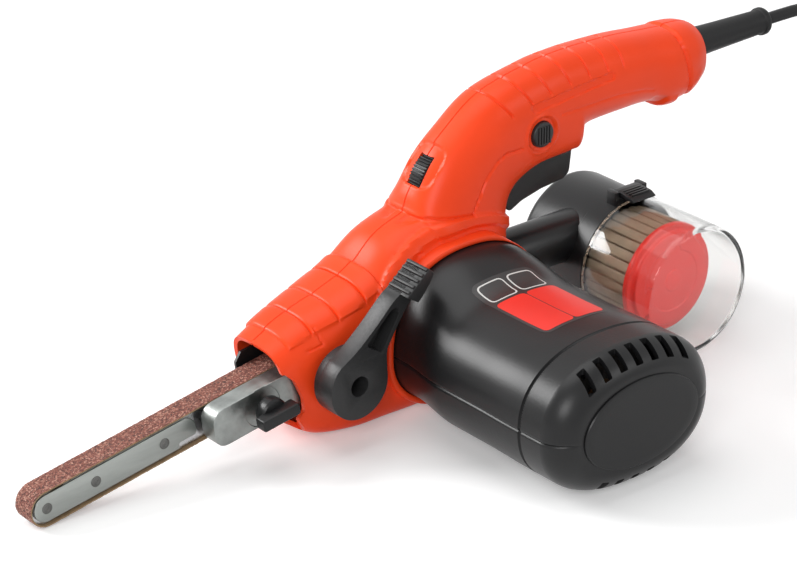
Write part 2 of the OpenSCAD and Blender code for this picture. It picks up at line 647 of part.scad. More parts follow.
// Aluminium plate in the collar that holds the front motor bearing
plate_back = collar_y - seat;
gear_plate_t = motor_bearing_w + 1;
gear_plate_in = 9;
module gear_plate() color([0.7, 0.7, 0.71]) at_motor()
  along_y(plate_back - gear_plate_t, plate_back) difference() {
    polygon(oval(case_a - gear_plate_in, case_b - gear_plate_in));
    circle(d = motor_bearing_d + 2 * press);
  }
rear_gap = 3.4;
rear_bearing_y = -case_end + case_wall + rear_gap;
module motor_bearings() color([0.68, 0.68, 0.7]) at_motor() {
  translate([0, plate_back - 0.5, 0]) bearing_ring(shaft_d + 2 * run, motor_bearing_d, motor_bearing_w);
  translate([0, rear_bearing_y + motor_bearing_w, 0])
    bearing_ring(shaft_d + 2 * run, motor_bearing_d, motor_bearing_w);
}
module pinion_bush() color([0.75, 0.55, 0.25]) at_motor() translate([0, far_bearing_y + spindle_bearing_w, 0])
  bearing_ring(shaft_d + 2 * run, bush_d, spindle_bearing_w);

module armature_shaft() color([0.6, 0.6, 0.62]) at_motor()
  rod_y(shaft_d, rear_bearing_y, far_bearing_y + spindle_bearing_w - 0.5);
// From the rear bearing on: commutator, core, and the fan midway to the gear plate
commutator_len = 14;
commutator_gap = 1;
commutator_y = rear_bearing_y + motor_bearing_w + commutator_gap;
core_gap = 5;
core_y = commutator_y + commutator_len + core_gap;
core_slots = 12;
core_slot = [5, 2.2];
module armature_core() color([0.45, 0.42, 0.4]) at_motor() along_y(core_y, core_y + core_len) difference() {
  circle(d = core_d);
  circle(d = shaft_d + 2 * press);
  for (k = [0:core_slots - 1]) rotate(360 * k / core_slots)
    translate([core_d / 2 - core_slot[0], -core_slot[1] / 2]) square(core_slot + [1, 0]);
}
module commutator() color([0.7, 0.45, 0.25]) at_motor()
  along_y(commutator_y, commutator_y + commutator_len) difference() {
    circle(d = commutator_d);
    circle(d = shaft_d + 2 * press);
  }
fan_depth = 11;
fan_disc_t = 2;
fan_blade_t = 1.6;
fan_hub_d = shaft_d + 8;
fan_y = (core_y + core_len + plate_back - gear_plate_t - fan_depth) / 2;
module cooling_fan() color([0.2, 0.22, 0.24]) at_motor() difference() {
  union() {
    rod_y(fan_d, fan_y + fan_depth - fan_disc_t, fan_y + fan_depth);
    rod_y(fan_hub_d, fan_y, fan_y + fan_depth - fan_disc_t / 2);
    for (k = [0:fan_blades - 1]) rotate([0, 360 * k / fan_blades, 0])
      translate([fan_hub_d / 2 - 1, fan_y, -fan_blade_t / 2])
        cube([fan_d / 2 - fan_hub_d / 2, fan_depth - fan_disc_t / 2, fan_blade_t]);
  }
  rod_y(shaft_d + 2 * press, -case_end, 0);
}
// Field core, which fills the case from top to bottom
field_d = 2 * (case_b - case_wall - NECK[len(NECK) - 1][1] - seat);
air_gap = 0.6;
module field_core() color([0.4, 0.38, 0.36]) at_motor() along_y(core_y, core_y + core_len) difference() {
  circle(d = field_d);
  circle(d = core_d + 2 * air_gap);
}
// End bracket on two posts of the field core, for the rear bearing
post_x = 24;
post_d = 7;
bracket_h = 14;
bracket_wall = 3;
module motor_end_bracket() color([0.25, 0.25, 0.27]) at_motor() {
  along_y(rear_bearing_y, rear_bearing_y + motor_bearing_w) difference() {
    union() {
      round_bar(-post_x, post_x, bracket_h);
      circle(d = motor_bearing_d + 2 * bracket_wall);
    }
    circle(d = motor_bearing_d + 2 * press);
  }
  for (x = [-post_x, post_x]) translate([x, 0, 0]) rod_y(post_d, rear_bearing_y, core_y);
}
brush_w = 6;
brush_out = post_x - 4;
brush_y = commutator_y + commutator_len / 2;
// Brush tubes, each clamped on a post of the end bracket
module brush_holders() color([0.75, 0.58, 0.3]) at_motor() for (s = [-1, 1])
  translate([0, brush_y, 0]) rotate([0, 0, s < 0 ? 180 : 0]) difference() {
    translate([commutator_d / 2 + 1.5, -brush_w / 2 - 1.2, -brush_w / 2 - 1.4])
      cube([post_x + 5 - commutator_d / 2, brush_w + 2.4, brush_w + 2.8]);
    translate([0, -brush_w / 2 - 0.1, -brush_w / 2 - 0.1]) cube([brush_out, brush_w + 0.2, brush_w + 0.2]);
    translate([post_x, 0, 0]) rod_y(post_d + 2 * press, -20, 20);
  }
module carbon_brushes() color([0.18, 0.18, 0.18]) at_motor() for (s = [-1, 1])
  translate([0, brush_y, 0]) rotate([0, 0, s < 0 ? 180 : 0])
    translate([commutator_d / 2 + 0.2, -brush_w / 2, -brush_w / 2])
      cube([brush_out - commutator_d / 2 - 1, brush_w, brush_w]);

// Trigger that swings on a pin at its front
trigger_pivot = [52, 112];
TRIGGER = [[46, 79.5], [54, 83.5], [67, 86.5], [82, 88], [86, 90.5], [87.5, 103], [87.5, 114],
  [66, 117], [52, 118], [45, 112], [43, 100], [43, 84]];
module trigger() color([0.14, 0.14, 0.15]) placed() along_y(-trigger_w / 2, trigger_w / 2) difference() {
  polygon(TRIGGER);
  translate(trigger_pivot) circle(d = trigger_pin_d + 2 * run);
}
module trigger_pin() color([0.6, 0.6, 0.62]) placed()
  translate([trigger_pivot[0], 0, trigger_pivot[1]]) rod_y(trigger_pin_d, -11, 11);
// Switch with the plunger that the trigger presses
switch_at = [68, 0, 127];
switch_size = [32, 28, 13];
plunger = [12, 5, 8];
module switch_block() color([0.16, 0.16, 0.17]) placed() translate(switch_at) {
  translate([0, -switch_size[1] / 2, 0]) cube(switch_size);
  translate([plunger[0], 0, -plunger[2]]) cylinder(d = plunger[1], h = plunger[2] + 1);
}

lock_at = [57, 122.5];
lock_y = [-20.5, -11];
module lock_button() color([0.25, 0.25, 0.26]) placed() translate([lock_at[0], 0, lock_at[1]])
  rod_y(lock_d, lock_y[0], lock_y[1]);

control_shaft_d = 4;
control_d = 10;
control_gap = 0.8;
control_end = dial_w / 2 + 7.5;
module speed_dial() color([0.1, 0.1, 0.11]) placed() translate([dial_at[0], 0, dial_at[1]]) difference() {
  rod_y(dial_d, -dial_w / 2, dial_w / 2);
  rod_y(control_shaft_d + 2 * run, -dial_w, dial_w);
}
module speed_control() color([0.2, 0.3, 0.25]) placed() translate([dial_at[0], 0, dial_at[1]]) {
  rod_y(control_shaft_d, -dial_w / 2 - 1, dial_w / 2 + 1);
  rod_y(control_d, dial_w / 2 + control_gap, control_end);
}

// Dust canister, lying with its axis along Y
tube_drop = port_z - can_r;
function can_profile() = [[0, 0], [can_r - 5, 0], [can_r - 1.5, 1.5], [can_r, 5], [can_r, can_len],
  [can_r - can_wall, can_len], [can_r - can_wall, can_wall + 3], [can_r - can_wall - 3, can_wall],
  [0, can_wall]];
module dust_canister() color([0.15, 0.15, 0.16]) {
  at_can() difference() {
    union() {
      turned_y() polygon(can_profile());
      translate([0, port_y - can_y, tube_drop]) rod_x(inlet_d, tube_x - can_x, -can_r * 0.6);
    }
    translate([0, port_y - can_y, tube_drop]) rod_x(inlet_d - 2 * can_wall, -can_x, 0);
    turned_y() polygon([[0, can_wall], [can_r - can_wall - 3, can_wall], [can_r - can_wall, can_wall + 3],
      [can_r - can_wall, can_len + 1], [0, can_len + 1]]);
  }
  at_can() difference() {
    turned_y() translate([filter_d / 2 - filter_ring - seat - stem_t, can_wall - 0.1])
      square([stem_t, can_len - can_wall + stem_out]);
    translate([0, port_y - can_y, tube_drop]) rod_x(inlet_d - 2 * can_wall, -can_x, 0);
  }
  at_can() for (x = [-1, 1])
    translate([x * (latch_w + lug[0]) / 2 - lug[0] / 2, lug_back - can_len, can_r - lug_root]) difference() {
      cube(lug);
      translate([-1, latch_back - lug_back, latch_rise + lug_root])
        rod_x(latch_pin_d + 2 * press, 0, lug[0] + 2);
    }
}
// Stem in the canister that the filter is pushed on
stem_t = 2.5;
stem_out = 4;
// Lugs on the canister that carry the latch's pin
lug = [3, 7, 7];
lug_back = 1;
lug_root = 1.5;
module dust_cup() color([0.85, 0.87, 0.86, 0.4]) at_can() translate([0, -can_len - seat, 0]) turned_y()
  polygon([[can_r - can_wall, 0], [can_r, 0], [can_r, cup_len - 3], [can_r - 3, cup_len], [0, cup_len],
    [0, cup_len - can_wall], [can_r - can_wall - 2, cup_len - can_wall],
    [can_r - can_wall, cup_len - can_wall - 2]]);
latch_w = 16;
latch_pin_d = 2.4;
latch_rise = 3;
latch_z = can_r + latch_rise;
latch_back = 5;
latch_len = 14;
latch_t = 2.4;
latch_hub_d = 5;
// Lower face of the latch's plate, below its pin
latch_low = 0.6;
module cup_latch() color([0.1, 0.1, 0.11]) at_can()
  translate([0, latch_back - can_len, latch_z]) difference() {
    union() {
      rod_x(latch_hub_d, -latch_w / 2 + seat, latch_w / 2 - seat);
      translate([-latch_w / 2 + seat, -latch_len, -latch_low]) cube([latch_w - 2 * seat, latch_len, latch_t]);
    }
    rod_x(latch_pin_d + 2 * run, -latch_w, latch_w);
  }
module latch_pin() color([0.6, 0.6, 0.62]) at_can() translate([0, latch_back - can_len, latch_z])
  rod_x(latch_pin_d, -latch_w / 2 - lug[0] + 0.2, latch_w / 2 + lug[0] - 0.2);

filter_y = stem_out - 1 - can_len;
filter_ring = 7;
pleat_depth = 3.5;
cap_step = 4;
cap_heights = [3.4, 6];
module dust_filter() color([0.75, 0.67, 0.52]) at_can()
  along_y(filter_y - filter_len, filter_y) difference() {
    polygon([for (i = [0:2 * pleats - 1])
      (filter_d / 2 - (i % 2) * pleat_depth) * [cos(180 * i / pleats), sin(180 * i / pleats)]]);
    circle(d = filter_d - 2 * filter_ring);
  }
cap_r = filter_d / 2 + cap_lip;
module filter_cap() color([0.85, 0.12, 0.1]) at_can() translate([0, filter_y - filter_len, 0]) turned_y()
  polygon([[0, 0], [cap_r, 0], [cap_r, cap_heights[0]], [cap_r - cap_step, cap_heights[0]],
    [cap_r - cap_step, cap_heights[1]], [0, cap_heights[1]]]);

// Mains cord: it leaves the relief, comes down behind the tool and ends in a tied coil
relief_root = 6;
module strain_relief() color([0.1, 0.1, 0.11]) placed() translate(relief_at) difference() {
  rotate([0, 90, 0]) rotate_extrude() polygon([[0, -relief_root], [relief_d / 2, -relief_root],
    [relief_d / 2, 1], [relief_d / 2 + 0.8, 1], [relief_d / 2 + 0.8, 4], [cord_d / 2 + 3.2, relief_len - 5],
    [cord_d / 2 + 4.2, relief_len - 4], [cord_d / 2 + 4.2, relief_len - 1], [cord_d / 2 + 3.4, relief_len],
    [0, relief_len]]);
  rod_x(cord_d + 0.6, -relief_root - 1, relief_len + 1);
}

coil_c = [345, -25];
coil_turns = 1.5;
coil_layers = 4;
coil_step = cord_d + coil_gap;
coil_z = cord_d / 2;
coil_span = coil_layers * coil_turns + (coil_layers - 1) / 2;
rings_per_loop = 24;
coil_start = 90;
function ease(s) = s * s * (3 - 2 * s);
// Radius and height after a number of turns: spiral in, climb down a layer, spiral out
function coil_point(turns) = let (
    k = min(coil_layers - 1, floor(turns / (coil_turns + 0.5))), s = turns - k * (coil_turns + 0.5),
    inward = k % 2 == 0, spin = min(s, coil_turns), r_end = coil_turns * coil_step / 2,
    r_off = inward ? r_end - spin * coil_step : spin * coil_step - r_end,
    climb = max(0, (s - coil_turns) * 2), bow = 1.3 * sin(180 * climb) * (inward ? -1 : 1),
    r = coil_r + r_off + bow, z = coil_z + coil_step * (coil_layers - 1 - k - ease(climb)),
    a = coil_start - 360 * turns)
  [coil_c[0] + r * cos(a), coil_c[1] + r * sin(a), z];
coil_rings = ceil(coil_span * rings_per_loop);
coil_body = [for (i = [0:coil_rings]) coil_point(coil_span * i / coil_rings)];
coil_head = coil_body[0] - cord_d * [sin(coil_start), -cos(coil_start), 0];
// The last loop's end rises to the plug's middle and runs straight into it
coil_tail = coil_start - 360 * coil_span;
tail_dir = [sin(coil_tail), -cos(coil_tail), 0];
plug_h = 13;
tail_rise = coil_body[coil_rings] + 16 * tail_dir + [0, 0, plug_h / 2 - coil_z];
tail_end = tail_rise + 14 * tail_dir;
coil_path = concat([coil_head], coil_body, [tail_rise, tail_end]);
coil_least = min([for (i = [0:len(coil_path) - 1]) for (j = [i + 8:len(coil_path) - 1])
  norm(coil_path[i] - coil_path[j])]) - cord_d;
echo(least_gap_in_the_coil_mm = coil_least);
module cord_coil() color([0.09, 0.09, 0.1]) placed() swept_tube(coil_path, cord_d, 6, [0, 0, 1]);

// Free stretch of the cord, from inside the strain relief to the coil
CORD = [[216, 0, 136], [228, 0, 136], [241, 0, 136], [253, 0, 135.7], [264, 0, 134], [274, 0.5, 129.5],
  [282, 1.5, 122.5], [288, 3, 113.5], [292, 5, 103], [295, 7.5, 92], [298, 10, 81], [301, 12.5, 70],
  [304.5, 14.5, 58.5], [309, 15.8, 47.5], [315, 16.3, 37.5], [323, 16.4, 29.5], [331, 16.4, 25.8], coil_head];
cord_path = smooth_rows(CORD, 2);
module power_cord() color([0.09, 0.09, 0.1]) placed() swept_tube(cord_path, cord_d, 10, [0.3, 0.9, 0.3]);

tie_at = coil_start + 200;
module cord_tie() color([0.2, 0.2, 0.21]) placed() translate([coil_c[0], coil_c[1], 0]) rotate([0, 0, tie_at])
  rotate([90, 0, 0]) linear_extrude(6, center = true) difference() {
    translate([coil_r - tie_half - 1.2, 0]) square([2 * tie_half + 2.4, tie_top + 1.2]);
    translate([coil_r - tie_half, -0.01]) square([2 * tie_half, tie_top]);
  }
tie_half = coil_turns * coil_step / 2 + cord_d / 2 + 0.6;
tie_top = coil_step * (coil_layers - 1) + cord_d + 0.6;

// Two-pin plug lying flat beside the coil
// Front face of the plug, and the thinner roots of the pins inside it
plug_front = 38;
pin_root_d = pin_d - 1.4;
pin_root_x = plug_front - 8;
module at_plug() { placed() translate(tail_end) rotate([0, 0, coil_tail - 90]) children(); }
module plug_body() color([0.09, 0.09, 0.1]) at_plug() difference() {
  union() {
    rod_x(cord_d + 5, -10, 8);
    translate([0, 0, -plug_h / 2]) linear_extrude(plug_h)
      polygon([[4, -6], [14, -15], [plug_front - 2, -17.5], [plug_front, -16], [plug_front, 16],
        [plug_front - 2, 17.5], [14, 15], [4, 6]]);
  }
  rod_x(cord_d + 0.6, -11, 1);
  for (s = [-1, 1]) translate([0, s * pin_pitch / 2, 0])
    rod_x(pin_root_d + 2 * press, pin_root_x - seat, plug_front + 1);
}
module plug_pins() color([0.8, 0.8, 0.8]) at_plug() for (s = [-1, 1]) translate([0, s * pin_pitch / 2, 0]) {
  rod_x(pin_root_d, pin_root_x, plug_front + seat + 0.2);
  rod_x(pin_d, plug_front + seat, plug_front + pin_len);
}

housing_left();
housing_right();
housing_screws();
nose_guard();
sanding_belt();
front_roller();
front_axle();
arm_plate_near();
arm_plate_far();
arm_core();
arm_rivets();
arm_holder();
tension_lever();
tracking_knob();
drive_roller();
drive_spindle();
drive_gear();
spindle_bearings();
motor_case_upper();
motor_case_lower();
motor_badge();
gear_plate();
motor_bearings();
pinion_bush();
armature_shaft();
armature_core();
commutator();
cooling_fan();
motor_pinion();
field_core();
motor_end_bracket();
brush_holders();
carbon_brushes();
trigger();
trigger_pin();
switch_block();
lock_button();
speed_dial();
speed_control();
dust_canister();
dust_cup();
cup_latch();
latch_pin();
dust_filter();
filter_cap();
strain_relief();
power_cord();
cord_coil();
cord_tie();
plug_body();
plug_pins();
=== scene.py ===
# %% [markdown]
# # A power file, dressed for the camera
# The CAD model fixes where every piece is and how it moves. This lesson gives the pieces that show their
# moulded, cast and woven surfaces, and keeps each one exactly where its solid sits.

# %% Load the frame
import json
from math import acos, asin, atan2, cos, degrees, pi, radians, sin, tan

import bmesh
import bpy
import numpy as np
from mathutils import Matrix, Vector


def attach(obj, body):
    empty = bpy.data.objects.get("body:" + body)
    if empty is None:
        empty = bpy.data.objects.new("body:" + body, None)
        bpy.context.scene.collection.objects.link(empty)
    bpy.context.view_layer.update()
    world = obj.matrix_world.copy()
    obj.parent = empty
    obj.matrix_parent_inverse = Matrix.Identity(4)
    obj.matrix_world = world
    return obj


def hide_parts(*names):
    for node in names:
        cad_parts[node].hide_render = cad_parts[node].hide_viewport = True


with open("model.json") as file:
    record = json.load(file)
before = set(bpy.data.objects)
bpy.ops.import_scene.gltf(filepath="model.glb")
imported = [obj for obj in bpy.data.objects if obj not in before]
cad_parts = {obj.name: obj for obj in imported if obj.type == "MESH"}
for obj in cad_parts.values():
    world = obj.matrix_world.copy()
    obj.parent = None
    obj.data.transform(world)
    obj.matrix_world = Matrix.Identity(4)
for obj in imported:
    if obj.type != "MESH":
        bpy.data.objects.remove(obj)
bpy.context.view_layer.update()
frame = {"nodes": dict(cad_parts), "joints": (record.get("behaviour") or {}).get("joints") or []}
joints = {joint["name"]: joint for joint in frame["joints"]}
MOTOR_Z = 36.5
DATUM = np.array(joints["armature_spin"]["pos_m"]) * 1000 - (0, 0, MOTOR_Z)


def added(name, data):
    """A new object in the scene."""
    ob = bpy.data.objects.new(name, data)
    bpy.context.scene.collection.objects.link(ob)
    return ob


def pivot(name):
    """A joint's place in x and z, in tool millimetres."""
    return np.array(joints[name]["pos_m"])[[0, 2]] * 1000 - DATUM[[0, 2]]


print("nodes", len(frame["nodes"]), "datum in mm", DATUM.round(2))

# %% [markdown]
# ## Camera
# The photograph is a long-lens view from the front left and above. A perspective fit gave the camera's place.

# %% Camera
CAMERA_TURN = radians(-39.46)
CAMERA_RISE = radians(25.21)
CAMERA_FAR = 1.7099
CAMERA_LENS, SENSOR_WIDTH = 153.7, 36
AIM_NEAR = (-6, 0, -1.5)
AIM_RIGHT, AIM_UP = -0.01089, 0.05111
back = Vector((sin(CAMERA_TURN) * cos(CAMERA_RISE), -cos(CAMERA_TURN) * cos(CAMERA_RISE), sin(CAMERA_RISE)))
right = Vector((cos(CAMERA_TURN), sin(CAMERA_TURN), 0))
above = back.cross(right)
aim = Vector(((DATUM + AIM_NEAR) / 1000).tolist()) + right * AIM_RIGHT + above * AIM_UP
camera = added("camera", bpy.data.cameras.new("camera"))
camera.data.lens = CAMERA_LENS
camera.data.sensor_width = SENSOR_WIDTH
camera.matrix_world = Matrix((right, above, back)).transposed().to_4x4()
camera.location = aim + back * CAMERA_FAR
bpy.context.scene.camera = camera
print("camera at", [round(v, 3) for v in camera.location])

# %% [markdown]
# ## Mesh helpers
# Everything is written in the tool's own millimetres, with x towards the handle's end, y across and z up, and moved
# into the shared frame in metres when the mesh is made. Lofts, lathes and prisms cover nearly every piece.

# %% Mesh helpers
EDGE_ANGLE = 32  # degrees from which an edge is sharp, and is rounded by a bevel
MERGE = 2e-6  # metres within which points become one


def solid(name, points, faces, finish, bevel=0.0, segments=3, cuts=(), sharp=EDGE_ANGLE, thick=0.0, facing=None):
    """A mesh object from points in tool millimetres, with rounded edges and openings. An open skin that gets a wall
    says which way it faces on the whole, so that the wall goes inwards."""
    mesh = bpy.data.meshes.new(name)
    mesh.from_pydata(((np.asarray(points, float) + DATUM) / 1000).tolist(), [], [list(map(int, f)) for f in faces])
    ob = added(name, mesh)
    weld(mesh, facing=facing)
    if thick:
        wall = ob.modifiers.new("wall", "SOLIDIFY")
        wall.thickness, wall.offset, wall.use_even_offset = thick / 1000, -1, False
    for cutter in cuts:
        hole = ob.modifiers.new("cut", "BOOLEAN")
        hole.operation, hole.object, hole.solver = "DIFFERENCE", cutter, "MANIFOLD"
    if bevel:
        edge = ob.modifiers.new("edge", "BEVEL")
        edge.width, edge.segments, edge.limit_method = bevel / 1000, segments, "ANGLE"
        edge.angle_limit, edge.use_clamp_overlap = radians(EDGE_ANGLE), True
    settle(ob)
    coat(ob, finish)
    shade(ob, sharp)
    return ob


def coat(ob, finish):
    ob.data.materials.clear()
    ob.data.materials.append(finish)


def weld(mesh, reach=MERGE, facing=None):
    """Merges points that lie together and turns the faces outwards."""
    bm = bmesh.new()
    bm.from_mesh(mesh)
    bmesh.ops.remove_doubles(bm, verts=bm.verts, dist=reach)
    bmesh.ops.recalc_face_normals(bm, faces=bm.faces)
    if facing and sum((f.normal * f.calc_area() for f in bm.faces), Vector()).dot(facing) < 0:
        bmesh.ops.reverse_faces(bm, faces=bm.faces)
    bm.to_mesh(mesh)
    bm.free()


def settle(ob):
    """Turns an object and its modifiers into a plain mesh."""
    bpy.context.view_layer.update()
    done = bpy.data.meshes.new_from_object(ob.evaluated_get(bpy.context.evaluated_depsgraph_get()))
    ob.modifiers.clear()
    ob.data = done
    done.name = ob.name


def shade(ob, sharp):
    ob.data.shade_smooth()
    ob.data.set_sharp_from_angle(angle=radians(sharp))


def seat(ob, body, slot, *nodes):
    """Attaches a finished piece to its body and hides the solids that it stands for. The slot, its finish, is not used.
    """
    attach(ob, body)
    if nodes:
        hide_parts(*nodes)
    print(ob.name, "on", body, "faces", len(ob.data.polygons) if ob.type == "MESH" else "curve")
    return ob


def scrap(*obs):
    for ob in obs:
        bpy.data.objects.remove(ob)


def grid(rings, wrap=False, caps=(False, False)):
    """Points and faces of a skin through rings that all have the same number of points."""
    rings = np.asarray(rings, float)
    rows, cols = rings.shape[:2]
    faces = []
    for i in range(rows - 1):
        for k in range(cols if wrap else cols - 1):
            n = (k + 1) % cols
            faces.append((i * cols + k, i * cols + n, (i + 1) * cols + n, (i + 1) * cols + k))
    if caps[0]:
        faces.append(tuple(range(cols))[::-1])
    if caps[1]:
        faces.append(tuple(range((rows - 1) * cols, rows * cols)))
    return rings.reshape(-1, 3), faces


def around(steps):
    """Angles of a full turn."""
    return np.linspace(0, 2 * pi, steps, endpoint=False)


def lathe(profile, centre, axis="y", steps=96):
    """A turned shape: rows are radius and place along the axis. Rows that start and end off the axis make a ring."""
    turn = around(steps)
    rings = []
    for radius, along in profile:
        radius = max(radius, 0.001)
        a, b, c = radius * np.cos(turn), radius * np.sin(turn), np.full(steps, along)
        rings.append(np.stack((a, c, b) if axis == "y" else (c, a, b), 1))
    ring = profile[0][0] > 0 and profile[-1][0] > 0
    points, faces = grid(rings + rings[:1] if ring else rings, wrap=True, caps=(not ring, not ring))
    return points + centre, faces


def at_y(places, y=0.0):
    """Places in x and z as points in space."""
    return np.insert(np.asarray(places, float), 1, y, axis=-1)


def prism(outline, y0, y1):
    """A flat outline in x and z, thickened along y."""
    n = len(outline)
    faces = [tuple(range(n)), tuple(range(n, 2 * n))[::-1]]
    faces += [(i, i + n, (i + 1) % n + n, (i + 1) % n) for i in range(n)]
    return np.concatenate([at_y(outline, y0), at_y(outline, y1)]), faces


def fillet(points, radius, steps=6):
    """Rounds the corners of an outline; radius is one number or one for each corner."""
    points = np.asarray(points, float)
    n = len(points)
    radii = np.broadcast_to(np.asarray(radius, float), n)
    out = []
    for i in range(n):
        p, a, b = points[i], points[i - 1], points[(i + 1) % n]
        u, v = (a - p) / np.linalg.norm(a - p), (b - p) / np.linalg.norm(b - p)
        half = acos(np.clip(u @ v, -1, 1)) / 2
        reach = min(radii[i] / max(tan(half), 1e-3), 0.48 * np.linalg.norm(a - p), 0.48 * np.linalg.norm(b - p))
        for t in np.linspace(0, 1, steps + 1):
            out.append((1 - t) ** 2 * (p + u * reach) + 2 * t * (1 - t) * p + t ** 2 * (p + v * reach))
    return np.array(out)


def rect(x0, x1, z0, z1):
    return [(x0, z0), (x1, z0), (x1, z1), (x0, z1)]


def disc(radius, x=0.0, z=0.0, steps=48):
    turn = around(steps)
    return np.stack([x + radius * np.cos(turn), z + radius * np.sin(turn)], 1)


def arc(x, radius, start, stop, steps):
    """Part of a circle about (x, 0), between two angles in degrees."""
    turn = np.radians(np.linspace(start, stop, steps))
    return np.stack([x + radius * np.cos(turn), radius * np.sin(turn)], 1)


def turned(outline, by, about=(0, 0)):
    c, s = cos(radians(by)), sin(radians(by))
    return np.asarray(outline, float) @ np.array([[c, s], [-s, c]]) + about


def joined(*parts):
    """Several (points, faces) lists as one."""
    points, faces, count = [], [], 0
    for p, f in parts:
        points.append(np.asarray(p, float))
        faces += [tuple(i + count for i in face) for face in f]
        count += len(p)
    return np.concatenate(points), faces


# The arm slopes down to its tip: places on it are measured up the arm from the front roller's axle
arm_axis = joints["arm_slide"]["axis"]
ARM_SLOPE = degrees(atan2(arm_axis[2], arm_axis[0]))
TIP = pivot("front_roller_spin")


def on_arm(outline):
    return turned(outline, ARM_SLOPE, TIP)


print("arm slope", round(ARM_SLOPE, 2), "tip axle", TIP.round(2))

# %% [markdown]
# ## Finishes
# Moulded plastic has a fine grain and a slow drift in gloss and colour. One helper builds that from noise on object
# coordinates, so that the grain has the same size on every piece. Metals use it with a stretched grain.


# %% Finish helper
GRAIN_HEIGHT = 0.0006  # metres of bump at full strength


def fill(given, **values):
    """Sets a node's inputs by name, with _ for a space."""
    for label, value in values.items():
        given.inputs[label.replace("_", " ")].default_value = value
    return given


def node(tree, kind, **values):
    return fill(tree.nodes.new("ShaderNode" + kind), **values)


def wire(tree, *links):
    """Links nodes: each row names a node, its output, the next node and its input."""
    for start, way_out, end, way_in in links:
        tree.links.new(start.outputs[way_out], end.inputs[way_in])


def ramp(tree, *stops):
    """A colour ramp from places and colours."""
    made = node(tree, "ValToRGB")
    for k, (place, colour) in enumerate(stops):
        if k > 1:
            made.color_ramp.elements.new(place)
        made.color_ramp.elements[k].position = place
        made.color_ramp.elements[k].color = (*colour, 1)
    return made


def finish(name, colour, rough, metal=0.0, drift=0.08, drift_size=30.0, grain=900.0, grain_depth=0.05,
           gloss_drift=0.06, stretch=(1, 1, 1), tilt=0.0, specular=0.5):
    mat = bpy.data.materials.new(name)
    mat.use_nodes = True
    tree = mat.node_tree
    shader = fill(tree.nodes["Principled BSDF"], Metallic=metal, Specular_IOR_Level=specular)
    place = node(tree, "TexCoord")
    spread = node(tree, "Mapping", Scale=stretch, Rotation=(0, radians(tilt), 0))
    slow, fine = node(tree, "TexNoise", Scale=drift_size, Detail=4), node(tree, "TexNoise", Scale=grain, Detail=3)
    tint = ramp(tree, (0.3, [c * (1 - drift) for c in colour]), (0.7, [min(1, c * (1 + drift)) for c in colour]))
    gloss = node(tree, "MapRange", To_Min=max(0.02, rough - gloss_drift), To_Max=min(1.0, rough + gloss_drift))
    bump = node(tree, "Bump", Strength=grain_depth, Distance=GRAIN_HEIGHT)
    wire(tree, (place, "Object", spread, "Vector"), (spread, "Vector", slow, "Vector"),
         (spread, "Vector", fine, "Vector"), (slow, "Fac", tint, "Fac"), (tint, "Color", shader, "Base Color"),
         (slow, "Fac", gloss, "Value"), (gloss, "Result", shader, "Roughness"), (fine, "Fac", bump, "Height"),
         (bump, "Normal", shader, "Normal"))
    return mat


# %% Finishes
orange_shell = finish("orange_shell", (0.9, 0.062, 0.011), 0.36, drift=0.04, grain=700, specular=0.22)
black_shell = finish("black_shell", (0.0085, 0.0085, 0.009), 0.33, drift=0.12, grain=800, grain_depth=0.06,
                     specular=0.29)
dark_grip = finish("dark_grip", (0.02, 0.02, 0.0205), 0.4, drift=0.12, grain=600, grain_depth=0.12, specular=0.34)
soft_rubber = finish("soft_rubber", (0.009, 0.009, 0.0095), 0.48, drift=0.15, grain=500, grain_depth=0.1,
                     specular=0.25)
red_cap_plastic = finish("red_cap_plastic", (0.80, 0.035, 0.025), 0.32, drift=0.06, grain=600, grain_depth=0.04)
red_panel = finish("red_panel", (0.72, 0.03, 0.02), 0.35, drift=0.05, grain=500, grain_depth=0.03)
panel_line = finish("panel_line", (0.02, 0.02, 0.02), 0.4, drift=0.1)
panel_white = finish("panel_white", (0.62, 0.62, 0.6), 0.4, drift=0.05)
zinc_plate = finish("zinc_plate", (0.3, 0.315, 0.3), 0.36, metal=1.0, drift=0.2, drift_size=90, grain=500,
                    grain_depth=0.18, stretch=(0.12, 1, 1), tilt=ARM_SLOPE)
cast_alloy = finish("cast_alloy", (0.28, 0.295, 0.285), 0.4, metal=1.0, drift=0.18, drift_size=160, grain=260,
                    grain_depth=0.35, gloss_drift=0.1)
bright_steel = finish("bright_steel", (0.55, 0.55, 0.56), 0.28, metal=1.0, drift=0.12, drift_size=120,
                      grain=700, grain_depth=0.1, stretch=(1, 0.1, 1))
rivet_steel = finish("rivet_steel", (0.12, 0.12, 0.115), 0.42, metal=1.0, drift=0.15, drift_size=200, grain=500,
                     grain_depth=0.15)
dark_iron = finish("dark_iron", (0.1, 0.095, 0.09), 0.55, metal=0.6, drift=0.25, drift_size=200, grain=700)
copper_alloy = finish("copper_alloy", (0.6, 0.32, 0.16), 0.35, metal=1.0, drift=0.15, drift_size=150)
carbon_black = finish("carbon_black", (0.02, 0.02, 0.02), 0.6, drift=0.2)
pleat_paper = finish("pleat_paper", (0.33, 0.25, 0.175), 0.8, drift=0.1, drift_size=120, grain=420, grain_depth=0.3,
                     specular=0.2)
tie_wire = finish("tie_wire", (0.03, 0.03, 0.032), 0.5, drift=0.15)
print("finishes", len(bpy.data.materials))

# %% [markdown]
# The dust cup is clear plastic. It is a real wall with two skins, so the light bends in and out of it.

# %% Clear plastic
clear_cup = finish("clear_cup", (0.955, 0.957, 0.95), 0.06, drift=0.008, gloss_drift=0.03, grain=300,
                   grain_depth=0.003)
fill(clear_cup.node_tree.nodes["Principled BSDF"], Transmission_Weight=1.0, IOR=1.28, Coat_Weight=0.3,
     Coat_Roughness=0.06)
print("clear", clear_cup.name)

